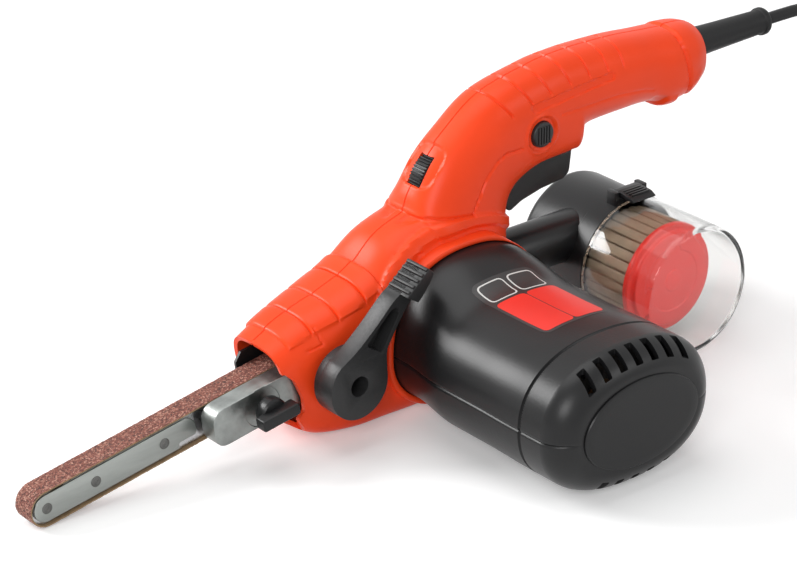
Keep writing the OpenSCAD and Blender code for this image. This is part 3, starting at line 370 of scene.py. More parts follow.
# %% [markdown]
# The belt is aluminium-oxide grit on cloth. Cells of different colour and height stand for the grains. The cut edges
# show the tan backing, which the mesh gets as a second finish.

# %% Abrasive
grit = finish("grit", (0.24, 0.085, 0.06), 0.72, drift=0.15, drift_size=60)
grit_tree = grit.node_tree
grains = node(grit_tree, "TexVoronoi", Scale=1500)
grain_place, grain_shade = node(grit_tree, "TexCoord"), node(grit_tree, "SeparateColor")
grain_tint = ramp(grit_tree, (0.0, (0.05, 0.017, 0.013)), (0.35, (0.16, 0.047, 0.032)), (0.7, (0.25, 0.08, 0.055)),
                  (1.0, (0.5, 0.27, 0.2)))
grain_bump = fill(grit_tree.nodes["Bump"], Strength=0.8)
wire(grit_tree, (grain_place, "Object", grains, "Vector"), (grains, "Color", grain_shade, "Color"),
     (grain_shade, "Red", grain_tint, "Fac"), (grain_tint, "Color", grit_tree.nodes["Principled BSDF"], "Base Color"),
     (grains, "Distance", grain_bump, "Height"))
belt_cloth = finish("belt_cloth", (0.26, 0.17, 0.09), 0.85, drift=0.2, drift_size=300, grain_depth=0.4)
print("abrasive", grit.name, belt_cloth.name)

# %% [markdown]
# ## Stage
# The tool lies on a white sweep under soft light. The floor is a pale surface that catches the shadow, with a little
# glow for the eye, mirrors and clear plastic, so that it reaches white without more light on the tool. The world is
# grey as a light, and white to the eye and in reflections.


# %% Stage
WORLD_LIGHT, FLOOR_GLOW = 0.32, 0.24
FLOOR_HALF, FLOOR_Z = 6, -0.0004
LAMP_AIM = (0.0, 0.03, 0.05)
WHITE = (1, 1, 1, 1)


def shows(tree):
    """1 for what the eye sees directly, in a mirror or through clear plastic, and 0 for light that falls on things."""
    ray, either, any_of = node(tree, "LightPath"), node(tree, "Math"), node(tree, "Math")
    either.operation = any_of.operation = "MAXIMUM"
    wire(tree, (ray, "Is Camera Ray", either, 0), (ray, "Is Glossy Ray", either, 1), (either, 0, any_of, 0),
         (ray, "Is Transmission Ray", any_of, 1))
    return any_of


scene = bpy.context.scene
scene.view_settings.view_transform = "Standard"
world = bpy.data.worlds.new("studio")
scene.world = world
world.use_nodes = True
sky = world.node_tree
lit = fill(sky.nodes["Background"], Color=WHITE, Strength=WORLD_LIGHT)
seen, pick = node(sky, "Background", Color=WHITE, Strength=1.0), node(sky, "MixShader")
wire(sky, (shows(sky), 0, pick, 0), (lit, 0, pick, 1), (seen, 0, pick, 2),
     (pick, 0, sky.nodes["World Output"], "Surface"))

paper = finish("paper", (0.86, 0.86, 0.86), 0.8, drift=0.004, grain_depth=0.0, specular=0.1)
sheet = paper.node_tree
glow, both, lift = node(sheet, "Emission", Color=WHITE), node(sheet, "AddShader"), node(sheet, "Math")
lift.operation = "MULTIPLY"
lift.inputs[1].default_value = FLOOR_GLOW
wire(sheet, (shows(sheet), 0, lift, 0), (lift, 0, glow, "Strength"), (sheet.nodes["Principled BSDF"], 0, both, 0),
     (glow, 0, both, 1), (both, 0, sheet.nodes["Material Output"], "Surface"))
floor = added("floor", bpy.data.meshes.new("floor"))
floor_edge = rect(-FLOOR_HALF, FLOOR_HALF, -FLOOR_HALF, FLOOR_HALF)
floor.data.from_pydata([(x, y, FLOOR_Z) for x, y in floor_edge], [], [(0, 1, 2, 3)])
floor.data.materials.append(paper)

SOFTBOXES = {"overhead": ((-0.1, 0.25, 1.5), 8.5, 1.3), "left_back": ((-0.95, 1.3, 0.95), 27.0, 0.85),
             "left_front": ((-1.3, -1.1, 1.0), 13.0, 0.8), "right_front": ((0.9, -1.5, 1.1), 4.5, 0.8)}
for name, (place, power, size) in SOFTBOXES.items():
    lamp = added(name, bpy.data.lights.new(name, "AREA"))
    lamp.data.energy, lamp.data.shape, lamp.data.size = power, "DISK", size
    lamp.location = place
    lamp.rotation_euler = (Vector(LAMP_AIM) - lamp.location).to_track_quat("-Z", "Y").to_euler()
print("stage: floor, world and", len(SOFTBOXES), "softboxes")

# %% [markdown]
# ## Mains cord
# The cord leaves the strain relief level, bends down and runs into a tied coil beside the tool: four layers of one and
# a half turns, wound in, out, in, out. One open curve carries it, so that its measured length is the real length.


# %% Mains cord
def smooth_rows(table, n):
    """A smooth curve through a table's rows, with n steps from one row to the next."""
    table = np.asarray(table, float)
    out = []
    for i in range(len(table) - 1):
        a, b, c, d = (table[min(max(k, 0), len(table) - 1)] for k in (i - 1, i, i + 1, i + 2))
        for t in np.arange(n) / n:
            out.append(0.5 * (2 * b + (c - a) * t + (2 * a - 5 * b + 4 * c - d) * t * t
                              + (3 * b - a - 3 * c + d) * t ** 3))
    return np.array(out + [table[-1]])


CORD_D, COIL_STEP, COIL_R, COIL_LAYERS, COIL_TURNS = 6.5, 7.2, 36.0, 4, 1.5
LAYER_TURNS = COIL_TURNS + 0.5  # with the half turn that climbs to the next layer
CLIMB_BULGE = 1.3
COIL_MIDDLE = np.array([345.0, -25.0])
COIL_START = 90.0


def coil_point(turns):
    layer = min(COIL_LAYERS - 1, int(turns / LAYER_TURNS))
    rest = turns - layer * LAYER_TURNS
    inward = layer % 2 == 0
    reach = COIL_TURNS * COIL_STEP / 2
    wound = min(rest, COIL_TURNS) * COIL_STEP
    climb = max(0.0, (rest - COIL_TURNS) * 2)
    r = COIL_R + (reach - wound if inward else wound - reach)
    r += CLIMB_BULGE * sin(pi * climb) * (-1 if inward else 1)
    z = CORD_D / 2 + COIL_STEP * (COIL_LAYERS - 1 - layer - climb * climb * (3 - 2 * climb))
    a = radians(COIL_START - 360 * turns)
    return [COIL_MIDDLE[0] + r * cos(a), COIL_MIDDLE[1] + r * sin(a), z]


coil = np.array([coil_point(t) for t in np.linspace(0, COIL_LAYERS * LAYER_TURNS - 0.5, 361)])
HANG = [(216, 0, 136), (228, 0, 136), (241, 0, 136), (253, 0, 135.7), (264, 0, 134), (274, 0.5, 129.5),
        (282, 1.5, 122.5), (288, 3, 113.5), (292, 5, 103), (295, 7.5, 92), (298, 10, 81), (301, 12.5, 70),
        (304.5, 14.5, 58.5), (309, 15.8, 47.5), (315, 16.3, 37.5), (323, 16.4, 29.5), (331, 16.4, 25.8),
        tuple(coil[0] - (CORD_D, 0, 0))]
PLUG_Z = 6.5
LEAD_OUT = ((4, 0.1), (8, 0.5), (12, 0.9), (16, 1), (23, 1), (30, 1))
lead_out = [coil[-1] - (x, 0, -(PLUG_Z - CORD_D / 2) * share) for x, share in LEAD_OUT]
TAIL = lead_out[-1]
route = (np.concatenate([smooth_rows(HANG, 5), coil, lead_out]) + DATUM) / 1000
cord_line = bpy.data.curves.new("mains_cord", "CURVE")
cord_line.dimensions = "3D"
cord_line.bevel_depth = CORD_D / 2000
cord_line.bevel_resolution = 5
cord_line.use_fill_caps = True
cord_spline = cord_line.splines.new("POLY")
cord_spline.points.add(len(route) - 1)
for point, place in zip(cord_spline.points, route):
    point.co = (*place, 1)
mains_cord = added("mains_cord", cord_line)
cord_line.materials.append(soft_rubber)
seat(mains_cord, "tool", "rubber", "power_cord", "cord_coil")

# %% [markdown]
# The plug is a flat body with a waist, finger ribs and a ringed neck. The tie is a flat band round the coil's turns.


# %% Plug and tie
PLUG_SIDE = ([4, 8, 14, 22, 30, 36, 38], [6, 10.5, 14.2, 14.6, 16.8, 17.4, 16.6])
FINGER_RIB, RIB_PITCH = 0.45, 3.4


def rounded(values, power):
    """Squares off a sine or cosine, keeping its sign."""
    return np.sign(values) * np.abs(values) ** power


plug_rings = []
plug_turn = around(64)
for x in np.linspace(4, 38, 69):
    high = 6.4 - 0.5 * max(0, (9 - x) / 5) ** 2 - 0.7 * max(0, (x - 35.5) / 2.5) ** 2
    ridge = FINGER_RIB * (cos(2 * pi * (x - 12) / RIB_PITCH) > 0.1) if 13 < x < 31 else 0.0
    wide = float(np.interp(x, *PLUG_SIDE)) - 0.5 + ridge
    plug_rings.append(np.stack([np.full(64, TAIL[0] - x), TAIL[1] + wide * rounded(np.cos(plug_turn), 0.4),
                                TAIL[2] + high * rounded(np.sin(plug_turn), 0.55)], 1))
neck = [(3.4, 10), (5.3, 10), (5.7, 9.4), (5.7, 8.2), (4.9, 7.6), (4.9, 6.6), (5.75, 6), (5.75, 4.8), (5.0, 4.2),
        (5.0, 3.2), (5.75, 2.6), (5.75, 1.4), (5.2, 0.8), (5.2, -0.2), (5.75, -0.8), (5.75, -8), (3.4, -8)]
plug_parts = joined(grid(plug_rings, wrap=True, caps=(True, True)), lathe(neck, TAIL, "x", 48))
plug = seat(solid("plug_moulding", *plug_parts, soft_rubber, bevel=0.3, segments=2), "tool", "black_plastic",
            "plug_body")

TIE_AT = radians(COIL_START + 200)
TIE_GAP, TIE_T, TIE_Z = 0.6, 1.1, 0.4
tie_half = COIL_TURNS * COIL_STEP / 2 + CORD_D / 2 + TIE_GAP
tie_top = COIL_STEP * (COIL_LAYERS - 1) + CORD_D + TIE_GAP
band = [(-tie_half, TIE_Z), (-tie_half, tie_top), (tie_half, tie_top), (tie_half, TIE_Z), (tie_half + TIE_T, TIE_Z),
        (tie_half + TIE_T, tie_top + TIE_T), (-tie_half - TIE_T, tie_top + TIE_T), (-tie_half - TIE_T, TIE_Z)]
band_points, band_faces = prism(fillet(band, [0.3, 2.5, 2.5, 0.3, 0.3, 3.4, 3.4, 0.3], 5), -3, 3)
spin = np.array([[cos(TIE_AT), sin(TIE_AT), 0], [-sin(TIE_AT), cos(TIE_AT), 0], [0, 0, 1]])
band_points = (band_points + (COIL_R, 0, 0)) @ spin + (*COIL_MIDDLE, 0)
tie = seat(solid("cord_band", band_points, band_faces, tie_wire, bevel=0.3), "tool", "grey_plastic", "cord_tie")
coat(frame["nodes"]["plug_pins"], bright_steel)

# %% [markdown]
# ## What repeats
# Ribs, pleats, knurls, rivets and screws each repeat one small unit. One Geometry Nodes tree puts a unit on every
# point of a mesh and turns each copy further about y. The result is turned into a plain mesh.


# %% Repeating tree
repeat_tree = bpy.data.node_groups.new("unit_on_points", "GeometryNodeTree")
socket_ids = {}
for label, kind in (("Geometry", "Geometry"), ("Unit", "Object"), ("Turn", "Float")):
    socket = repeat_tree.interface.new_socket(label, in_out="INPUT", socket_type="NodeSocket" + kind)
    socket_ids[label] = socket.identifier
repeat_tree.interface.new_socket("Geometry", in_out="OUTPUT", socket_type="NodeSocketGeometry")
given, out, unit, put, index, real = (repeat_tree.nodes.new(kind) for kind in (
    "NodeGroupInput", "NodeGroupOutput", "GeometryNodeObjectInfo", "GeometryNodeInstanceOnPoints",
    "GeometryNodeInputIndex", "GeometryNodeRealizeInstances"))
angle, euler = node(repeat_tree, "Math"), node(repeat_tree, "CombineXYZ")
angle.operation = "MULTIPLY"
wire(repeat_tree, (given, "Unit", unit, "Object"), (given, "Geometry", put, "Points"),
     (unit, "Geometry", put, "Instance"), (index, "Index", angle, 0), (given, "Turn", angle, 1), (angle, 0, euler, "Y"),
     (euler, "Vector", put, "Rotation"), (put, "Instances", real, "Geometry"), (real, "Geometry", out, "Geometry"))


def repeated(name, shape, places, finish_of, turn=0.0, **look):
    """Copies of a shape about the tool's origin, at places in tool millimetres, each turned further in degrees."""
    unit = solid(name + "_unit", *shape, finish_of, **look)
    unit.data.transform(Matrix.Translation(Vector((-DATUM / 1000).tolist())))
    ob = added(name, bpy.data.meshes.new(name))
    ob.data.from_pydata(((np.asarray(places, float) + DATUM) / 1000).tolist(), [], [])
    copies = ob.modifiers.new(name, "NODES")
    copies.node_group = repeat_tree
    for label, value in (("Unit", unit), ("Turn", radians(turn))):
        copies[socket_ids[label]] = value
    settle(ob)
    scrap(unit)
    shade(ob, EDGE_ANGLE)
    return ob


def fuse(name, *obs):
    """Several settled meshes as one object, each keeping its finish."""
    bm = bmesh.new()
    mesh = bpy.data.meshes.new(name)
    for ob in obs:
        first = len(mesh.materials)
        for mat in ob.data.materials:
            mesh.materials.append(mat)
        start = len(bm.faces)
        bm.from_mesh(ob.data)
        bm.faces.ensure_lookup_table()
        for face in bm.faces[start:]:
            face.material_index += first
    bm.to_mesh(mesh)
    bm.free()
    whole = added(name, mesh)
    scrap(*obs)
    shade(whole, EDGE_ANGLE)
    return whole


print("tree", repeat_tree.name)

# %% [markdown]
# ## Sanding arm
# The belt is a cloth loop with grit outside, swept as a closed cross-section round the two rollers, finely enough to
# give the grit a real, uneven height. Faces that look sideways or inwards keep the bare cloth.

# %% Sanding belt
BELT_R, BELT_T, BELT_W = 9.45, 0.9, 13.0
RING_GAP, GRIT_HEIGHT, EDGE_DROP, CLOTH_DEPTH, SIDEWAYS = 0.6, 0.24, 0.12, 0.6, 0.6
BELT_LONG = float(np.linalg.norm(pivot("drive_spin") - TIP))
straight = int(BELT_LONG / RING_GAP)
angles = np.linspace(-pi / 2, pi / 2, 50, endpoint=False)
loop = ([(s, 0.0, -1.0) for s in np.linspace(0, BELT_LONG, straight, endpoint=False)]
        + [(BELT_LONG, cos(a), sin(a)) for a in angles]
        + [(s, 0.0, 1.0) for s in np.linspace(BELT_LONG, 0, straight, endpoint=False)]
        + [(0.0, -cos(a), -sin(a)) for a in angles])
across = np.linspace(-BELT_W / 2, BELT_W / 2, 22)
rng = np.random.default_rng(7)
lumps = rng.random((len(loop), len(across))) ** 1.5 * GRIT_HEIGHT
lumps[:, [0, -1]] += EDGE_DROP
rings = []
for (s, u, v), low in zip(loop, lumps):
    outer = [np.array([s + (BELT_R - l) * u, (BELT_R - l) * v]) for l in low]
    inner = np.array([s + (BELT_R - BELT_T) * u, (BELT_R - BELT_T) * v])
    flat = on_arm(outer + [inner, inner])
    rings.append(at_y(flat, np.concatenate([across, across[[-1, 0]]])))
belt = solid("grit_belt", *grid(rings + rings[:1], wrap=True), grit, sharp=50)
belt.data.materials.append(belt_cloth)
along_arm = np.array([cos(radians(ARM_SLOPE)), sin(radians(ARM_SLOPE))])
for face in belt.data.polygons:
    place = np.array(face.center)[[0, 2]] * 1000 - DATUM[[0, 2]] - TIP
    s = np.clip(place @ along_arm, 0, BELT_LONG)
    inside = np.linalg.norm(place - s * along_arm) < BELT_R - CLOTH_DEPTH
    face.material_index = int(inside or abs(face.normal.y) > SIDEWAYS)
seat(belt, "tool", "abrasive", "sanding_belt")

# %% [markdown]
# Two zinc-plated plates sandwich the roller and the backing bar. The near one has a step cut out of its rear corner.
# Flat rivets with a dimple hold the sandwich, and the front one is the roller's axle.

# %% Side plates and rivets
PLATE_R, PLATE_IN, PLATE_OUT = 7, 4.5, 6.1
RIVETS = [(28, 0), (68, 0)]
rear_start = degrees(asin(-4 / PLATE_R))
plate_edge = np.concatenate([arc(0, PLATE_R, 90, 270, 28), [(76, -PLATE_R), (76, -4.6), (76.6, -4)],
                             arc(80, PLATE_R, rear_start, 90, 22)])
seat(solid("near_plate", *prism(on_arm(plate_edge), -PLATE_OUT, -PLATE_IN), zinc_plate, bevel=0.35),
     "arm", "zinc_plate", "arm_plate_near")
far_edge = np.concatenate([arc(143, PLATE_R, -90, 90, 28), arc(0, PLATE_R, 90, 270, 28)])
seat(solid("far_plate", *prism(on_arm(far_edge), PLATE_IN, PLATE_OUT), zinc_plate, bevel=0.35),
     "arm", "zinc_plate", "arm_plate_far")

DOME = [(0, 6.62), (0.9, 6.62), (1.05, 6.5), (1.2, 6.62), (2.0, 6.6), (2.45, 6.5), (2.7, 6.3), (2.75, 6.1), (2.0, 6.1)]
rivet_profile = [(r, -a) for r, a in DOME] + DOME[::-1]
seat(repeated("rivets", lathe(rivet_profile, (0, 0, 0), "y", 40), at_y(on_arm(RIVETS)), rivet_steel),
     "arm", "steel", "arm_rivets")
seat(solid("axle_rivet", *lathe(rivet_profile, at_y(TIP), "y", 40), rivet_steel),
     "arm", "steel", "front_axle")

# %% [markdown]
# The holder is an aluminium casting: a thick bar with soft edges, a machined land round the knob's screw and a foot
# that reaches in to the arm.

# %% Arm holder
KNOB_AT = 118
holder_edge = fillet(rect(89, 166, -10, 10), [7.5, 6, 6, 8.5], 10)
land = solid("land_cut", *prism(on_arm(disc(10.4, KNOB_AT)), -18.6, -17.4), cast_alloy)
holder = solid("holder_cast", *prism(on_arm(holder_edge), -18, -8), cast_alloy, bevel=1.7, segments=4, cuts=[land])
foot_edge = on_arm(fillet(rect(95, 146, -6.5, 6.5), 2))
foot = solid("holder_foot", *prism(foot_edge, -8.4, -4.6), cast_alloy, bevel=0.5)
scrap(land)
seat(fuse("arm_casting", holder, foot), "arm", "cast_alloy", "arm_holder")

# %% [markdown]
# The tracking knob is a round hub and, across it, a straight blade for two fingers.

# %% Tracking knob
KNOB = on_arm([(KNOB_AT, 0)])[0]
hub = [(0, -28.4), (4, -28.4), (6.6, -28.0), (7.4, -27.0), (7.5, -25.5), (7.5, -22.6), (7.1, -21.8), (3, -21.6),
       (3, -10), (0, -10)]
blade = fillet(rect(-11, 11, -3.1, 3.1), 1.6, 6)
knob_hub = solid("knob_hub", *lathe(hub, at_y(KNOB), "y", 64), black_shell)
knob_blade = solid("knob_blade", *prism(turned(blade, ARM_SLOPE, KNOB), -33.6, -26.8), black_shell, bevel=0.8,
                   segments=4)
seat(fuse("winged_knob", knob_hub, knob_blade), "knob", "black_plastic", "tracking_knob")

# %% [markdown]
# ## Tension lever
# A round hub with a deep bore, a slim shank that is hollowed from the front, and a wider thumb rest with ridges along
# its upper edge. Side outlines are thickened across the tool and their edges rounded.


# %% Tension lever
LEVER = pivot("lever_turn")
LEVER_UP, LEVER_FRONT, LEVER_BACK, SHANK_BACK, THUMB_FRONT = 57.0, -41.6, -27.1, -31.4, -47.1
HUB_R, THUMB_START, RIDGE_START, RIDGE_STEP = 17.25, 47.5, 1.2, 3.5
LEVER_TOP = np.array([(5.2, 16.5), (14.3, 12), (28, 7.5), (42.9, 3.8), (49.4, 1.2), (65, -3.6)])
LEVER_UNDER = np.array([(9.75, -14.2), (20.2, -7), (28, -5.9), (44.2, -6), (52, -7.5), (59.8, -8.2), (64.3, -7.5)])


def on_lever(outline):
    return turned(outline, LEVER_UP, LEVER)


under, top = smooth_rows(LEVER_UNDER, 7), smooth_rows(LEVER_TOP, 7)[::-1]
lever_edge = np.concatenate([arc(0, HUB_R, 76, 301, 70), under, top])
thumb_edge = np.concatenate([under[under[:, 0] > THUMB_START], top[top[:, 0] > THUMB_START]])
HOLLOW = [(18.9, 7.4), (28, 5.4), (39, 2.6), (42.3, 0), (39.7, -3), (28, -3.6), (18.9, -4)]
lever_cuts = [solid("bore_cut", *prism(on_lever(disc(5.25)), LEVER_FRONT - 1, LEVER_BACK - 3), dark_grip),
              solid("hollow_cut", *prism(on_lever(fillet(HOLLOW, 1.6)), LEVER_FRONT - 1, LEVER_FRONT + 8), dark_grip)]
lever_face = solid("lever_face", *prism(on_lever(lever_edge), LEVER_FRONT, SHANK_BACK), dark_grip, cuts=lever_cuts,
                   bevel=0.9)
thumb = solid("thumb_rest", *prism(on_lever(thumb_edge), THUMB_FRONT, SHANK_BACK - 0.3), dark_grip, bevel=0.9)
lever_rows = [(0, -29.4), (5.3, -29.4), (5.3, -33), (16, -33), (17.1, -32), (17.1, -28), (16.4, LEVER_BACK),
              (9, LEVER_BACK), (9, -18.3), (0, -18.3)]
lever_hub = solid("lever_hub", *lathe(lever_rows, at_y(LEVER), "y", 80), dark_grip)
ridge_way = (LEVER_TOP[-1] - LEVER_TOP[-2]) / np.linalg.norm(LEVER_TOP[-1] - LEVER_TOP[-2])
RIDGE_TURN = LEVER_UP + degrees(atan2(ridge_way[1], ridge_way[0]))
ridge_edge = turned(fillet([(-1.3, -0.9), (1.3, -0.9), (0.7, 1.05), (-0.7, 1.05)], 0.5, 4), RIDGE_TURN)
first_ridge = LEVER_TOP[-2] + RIDGE_START * ridge_way
ridge_places = on_lever([first_ridge + RIDGE_STEP * k * ridge_way for k in range(5)])
ridges = repeated("thumb_ridges", prism(ridge_edge, THUMB_FRONT + 0.3, SHANK_BACK - 0.5), at_y(ridge_places), dark_grip,
                  bevel=0.3)
scrap(*lever_cuts)
seat(fuse("belt_lever", lever_face, thumb, lever_hub, ridges), "lever", "grey_plastic", "tension_lever")

# %% [markdown]
# ## Housing
# The two halves are one flowing moulding: nose, belly round the motor's collar, column and handle. Sections along a
# spine give the main form. Pads, grooves and recesses are pressed into the skin along its own normals, before the
# skin gets its wall and its openings are cut.

# %% Spine of the housing
# x and z of each section's middle, slope, half height, half width near and far, squareness above and below, drop below
SPINE = np.array([
    (-106, 32.5, 14, 22, 21, 18, 3.4, 5, 0), (-90, 33, 4, 29.5, 23.5, 21, 3.4, 6, 0),
    (-68, 34.9, 2, 34.1, 26, 26, 3.4, 7, 0), (-49, 38.4, 4.6, 37.7, 27, 28, 3.2, 7, 0),
    (-27, 44.6, 12.8, 45, 28, 28, 3, 6, 0), (6, 51.5, 30, 50.5, 28, 28, 3, 4, 0),
    (11, 68.5, 43.5, 41, 26.5, 26.5, 2.8, 3, 0), (13.5, 86.5, 55, 33.5, 22, 22, 2.6, 2.8, 0),
    (18.5, 102.5, 53, 29, 20, 20, 2.5, 2.6, 0), (28, 113.5, 46, 27, 19, 19, 2.4, 2.6, 0),
    (44.5, 126, 36, 25, 18.5, 18.5, 2.4, 3.2, 5), (70.5, 132.5, 22, 22.5, 18, 18, 2.4, 3.6, 9),
    (80, 133.8, 16, 21.8, 18, 18, 2.4, 3.4, 9), (85, 134.3, 13, 21.3, 18, 18, 2.4, 2.8, 0.6),
    (95, 135, 7, 20.48, 18, 18, 2.4, 2.4, 0), (118, 135, -2, 19.5, 18, 18, 2.4, 2.4, 0),
    (136, 134, -5, 18.7, 18, 18, 2.4, 2.4, 0), (150, 131.5, -6, 20, 19, 19, 2.4, 2.4, 0),
    (163, 131.5, -4, 19, 18, 18, 2.3, 2.3, 0), (171, 133, 0, 15.5, 15, 15, 2.2, 2.2, 0)], float)
RELIEF_Z, RELIEF_R, HANDLE_END = 136.0, 8.4, 171.0
AROUND, RING_STEP = 98, 0.85


def half_section(w, above, below, p_above, p_below, count):
    """Points of half a rounded section from its top round one side to its bottom, evenly spaced."""
    turn = np.linspace(pi / 2, -pi / 2, 900)
    h, p = np.where(turn > 0, above, below), np.where(turn > 0, p_above, p_below)
    r = ((np.cos(turn).clip(0) / w) ** p + (np.abs(np.sin(turn)) / h) ** p) ** (-1 / p)
    side, up = r * np.cos(turn).clip(0), r * np.sin(turn)
    run = np.concatenate([[0], np.cumsum(np.hypot(np.diff(side), np.diff(up)))])
    ends = np.array([0, 0.45, 1.0])
    at = np.concatenate([ends, np.linspace(1.8, run[-1] - 1.8, count - 6), run[-1] - ends[::-1]])
    return np.interp(at, run, side), np.interp(at, run, up)


def ease(t):
    t = np.clip(t, 0, 1)
    return t * t * (3 - 2 * t)


def hump(t, half, soft):
    """1 within half of 0, falling to 0 over soft."""
    return 1 - ease((np.abs(t) - half) / soft)


def from_line(x, z, line):
    """Distance of points from a line of corners."""
    best = np.full(np.shape(x), 1e9)
    for (ax, az), (bx, bz) in zip(line[:-1], line[1:]):
        dx, dz = bx - ax, bz - az
        t = (((x - ax) * dx + (z - az) * dz) / (dx * dx + dz * dz)).clip(0, 1)
        best = np.minimum(best, np.hypot(x - ax - t * dx, z - az - t * dz))
    return best


NECK, OVAL = (47.0, 45.5, 32.5), 2.3


def from_neck(x, z):
    """About how far outside the outline of the motor case's neck a point lies."""
    high = np.where(z > MOTOR_Z, NECK[1], NECK[2])
    share = ((np.abs(x) / NECK[0]) ** OVAL + (np.abs(z - MOTOR_Z) / high) ** OVAL) ** (1 / OVAL)
    return np.hypot(x, z - MOTOR_Z) * (1 - 1 / share.clip(0.05))


spine_rows = []
for k, gap in enumerate(np.hypot(np.diff(SPINE[:, 0]), np.diff(SPINE[:, 1]))):
    steps = max(8, int(gap / RING_STEP))
    spine_rows.append(smooth_rows(SPINE, steps)[k * steps:(k + 1) * steps])
spine_rows = np.concatenate(spine_rows + [SPINE[-1:]])
BACK_GROOVES = (45.5, 57.0, 68.0, 79.5, 91.0, 102.5, 112.5)
PAD_EDGES = np.array((-99.5, -88.0, -73.2, -56.4, -45.0))
extra = [at + np.array([-0.8, -0.4, 0, 0.4, 0.8]) for at in (*BACK_GROOVES, *PAD_EDGES)]
close = np.unique(np.concatenate([spine_rows[:, 0], *extra]))
spine_rows = np.stack([np.interp(close, spine_rows[:, 0], column) for column in spine_rows.T], 1)
print("housing rings", len(spine_rows))

# %% [markdown]
# The mould's details are heights over the plain skin: four crowned pads on the nose that meet in grooves, grooves
# over the handle's back, a shallow blank panel on its side, dishes for the lock button and the dial, a cap at the
# handle's end with a lip below it, and the arches round the motor's collar.

# %% Housing skin
CORNER_MARK = [(-87.5, 60), (-86.2, 56.5), (-85.1, 52.9), (-93.9, 51.5)]
GRIP_LINE = [(9.9, 93.1), (14.9, 101.1), (20.3, 109.6), (26.3, 115.1), (33, 118.2), (44, 118)]
BASE_LINE = [(-26, 94), (-19.7, 94.9), (-13.6, 96.2), (1.4, 94.2), (9.9, 93.1)]
LOW_LINE = [(70, 129.7), (88.7, 129.6), (109.4, 129.7), (126.7, 127.8), (133.8, 125.8)]
PANEL_LINE = [(53, 136.8), (104, 141.2)]
CAP_SHARE = (-1, -0.4, -0.1, 0.2, 0.55, 0.8, 0.95, 1.05)
CAP_EDGE = (163, 160, 158, 156, 154, 152.5, 152, 151)
LOCK, DIAL = (57.0, 122.5), (2.5, 108.0)
# Line, depth, half width, soft edge, and how far from the seam it begins
GROOVES = [(GRIP_LINE, 0.9, 0.3, 0.7, -1), (BASE_LINE, 0.9, 0.3, 0.8, 4), (LOW_LINE, 0.45, 0.2, 0.8, 12)]
NEAR_GROOVES = [(CORNER_MARK, 0.7, 0.2, 0.7, -1), (PANEL_LINE, 0.9, 1.9, 0.5, -1)]
PAD_RISE, CAP_RISE, LIP_RISE, ARCH_RISE, RING_RISE = 1.3, 0.74, 1.4, 1.9, 0.6
BACK_DEPTH, CAP_DEPTH, LIP_DEPTH, DIAL_DEPTH, LOCK_DEPTH, SEAM_DEPTH = 0.9, 1.0, 0.8, 1.2, 0.9, 0.6


def housing_half(near):
    skin, share = [], []
    for row in spine_rows:
        x, z, slope, h, w_near, w_far, above, below, drop = row
        out, up = half_section(w_near if near else w_far, h, h + max(0, drop), above, below, AROUND)
        s, c = sin(radians(slope)), cos(radians(slope))
        skin.append(np.stack([x - s * up, -out if near else out, z + c * up], 1))
        share.append(up / h)
    skin, share = np.array(skin), np.array(share)
    normal = np.cross(np.gradient(skin, axis=0), np.gradient(skin, axis=1))
    normal /= np.linalg.norm(normal, axis=2, keepdims=True)
    middle = np.stack([spine_rows[:, 0], np.zeros(len(spine_rows)), spine_rows[:, 1]], 1)[:, None]
    normal *= np.sign((normal * (skin - middle)).sum(axis=2, keepdims=True))
    x, y, z = skin[..., 0], skin[..., 1], skin[..., 2]
    s = np.broadcast_to(spine_rows[:, :1], x.shape)
    pad = np.searchsorted(PAD_EDGES, s).clip(1, len(PAD_EDGES) - 1)
    along = (s - PAD_EDGES[pad - 1]) / (PAD_EDGES[pad] - PAD_EDGES[pad - 1])
    rise = PAD_RISE * (1 - np.abs(2 * along.clip(0, 1) - 1) ** 12) * ease((share - 0.8) / 0.035)
    rise -= sum(BACK_DEPTH * hump(s - at, 0.1, 0.7) for at in BACK_GROOVES) * ease((share - 0.42) / 0.08)
    for line, depth, half, soft, off in GROOVES + NEAR_GROOVES * near:
        rise -= depth * hump(from_line(x, z, line), half, soft) * (np.abs(y) > off)
    past_cap = s - np.interp(share, CAP_SHARE, CAP_EDGE)
    rise += CAP_RISE * ease(past_cap / 1.1) - CAP_DEPTH * hump(past_cap + 0.9, 0.25, 0.8)
    lip = LIP_RISE * hump(s - 150.5, 2.6, 2.0) - LIP_DEPTH * hump(s - 142.5, 3, 3)
    rise += lip * ease((-share - 0.6) / 0.18)
    dish = ((np.hypot(x + 5, z - 117.5) / 12) ** 4 + (y / 11) ** 4) ** 0.25
    rise -= DIAL_DEPTH * hump(dish, 0.92, 0.09)
    if near:
        button = np.hypot(x - LOCK[0], z - LOCK[1])
        rise += RING_RISE * hump(button - 10.2, 0.4, 0.7) - LOCK_DEPTH * hump(button, 8.6, 0.7)
        rise += ARCH_RISE * hump(from_neck(x, z) - 8.8, 1.9, 1.6) * ease((z - 50) / 14) * (y < -12)
    rise[:, [0, -1]] -= SEAM_DEPTH
    rise[:3] *= 0.3
    skin = skin + normal * rise[..., None]
    hole = np.linspace(pi / 2, -pi / 2, AROUND)
    out = (-1 if near else 1) * RELIEF_R * np.cos(hole).clip(0)
    end = np.stack([np.full(AROUND, HANDLE_END), out, RELIEF_Z + RELIEF_R * np.sin(hole)], 1)
    return np.concatenate([skin, [skin[-1] * 0.85 + end * 0.15], [end]])


near_skin, far_skin = housing_half(True), housing_half(False)
print("skin points", near_skin.shape, far_skin.shape)

# %% [markdown]
# Openings are cut with prisms: the slots of the trigger and the dial, the lock button's hole, the set-back edge of the
# nose round the knob and the mouth that takes the motor case. On the far side six screw wells run in from the skin.


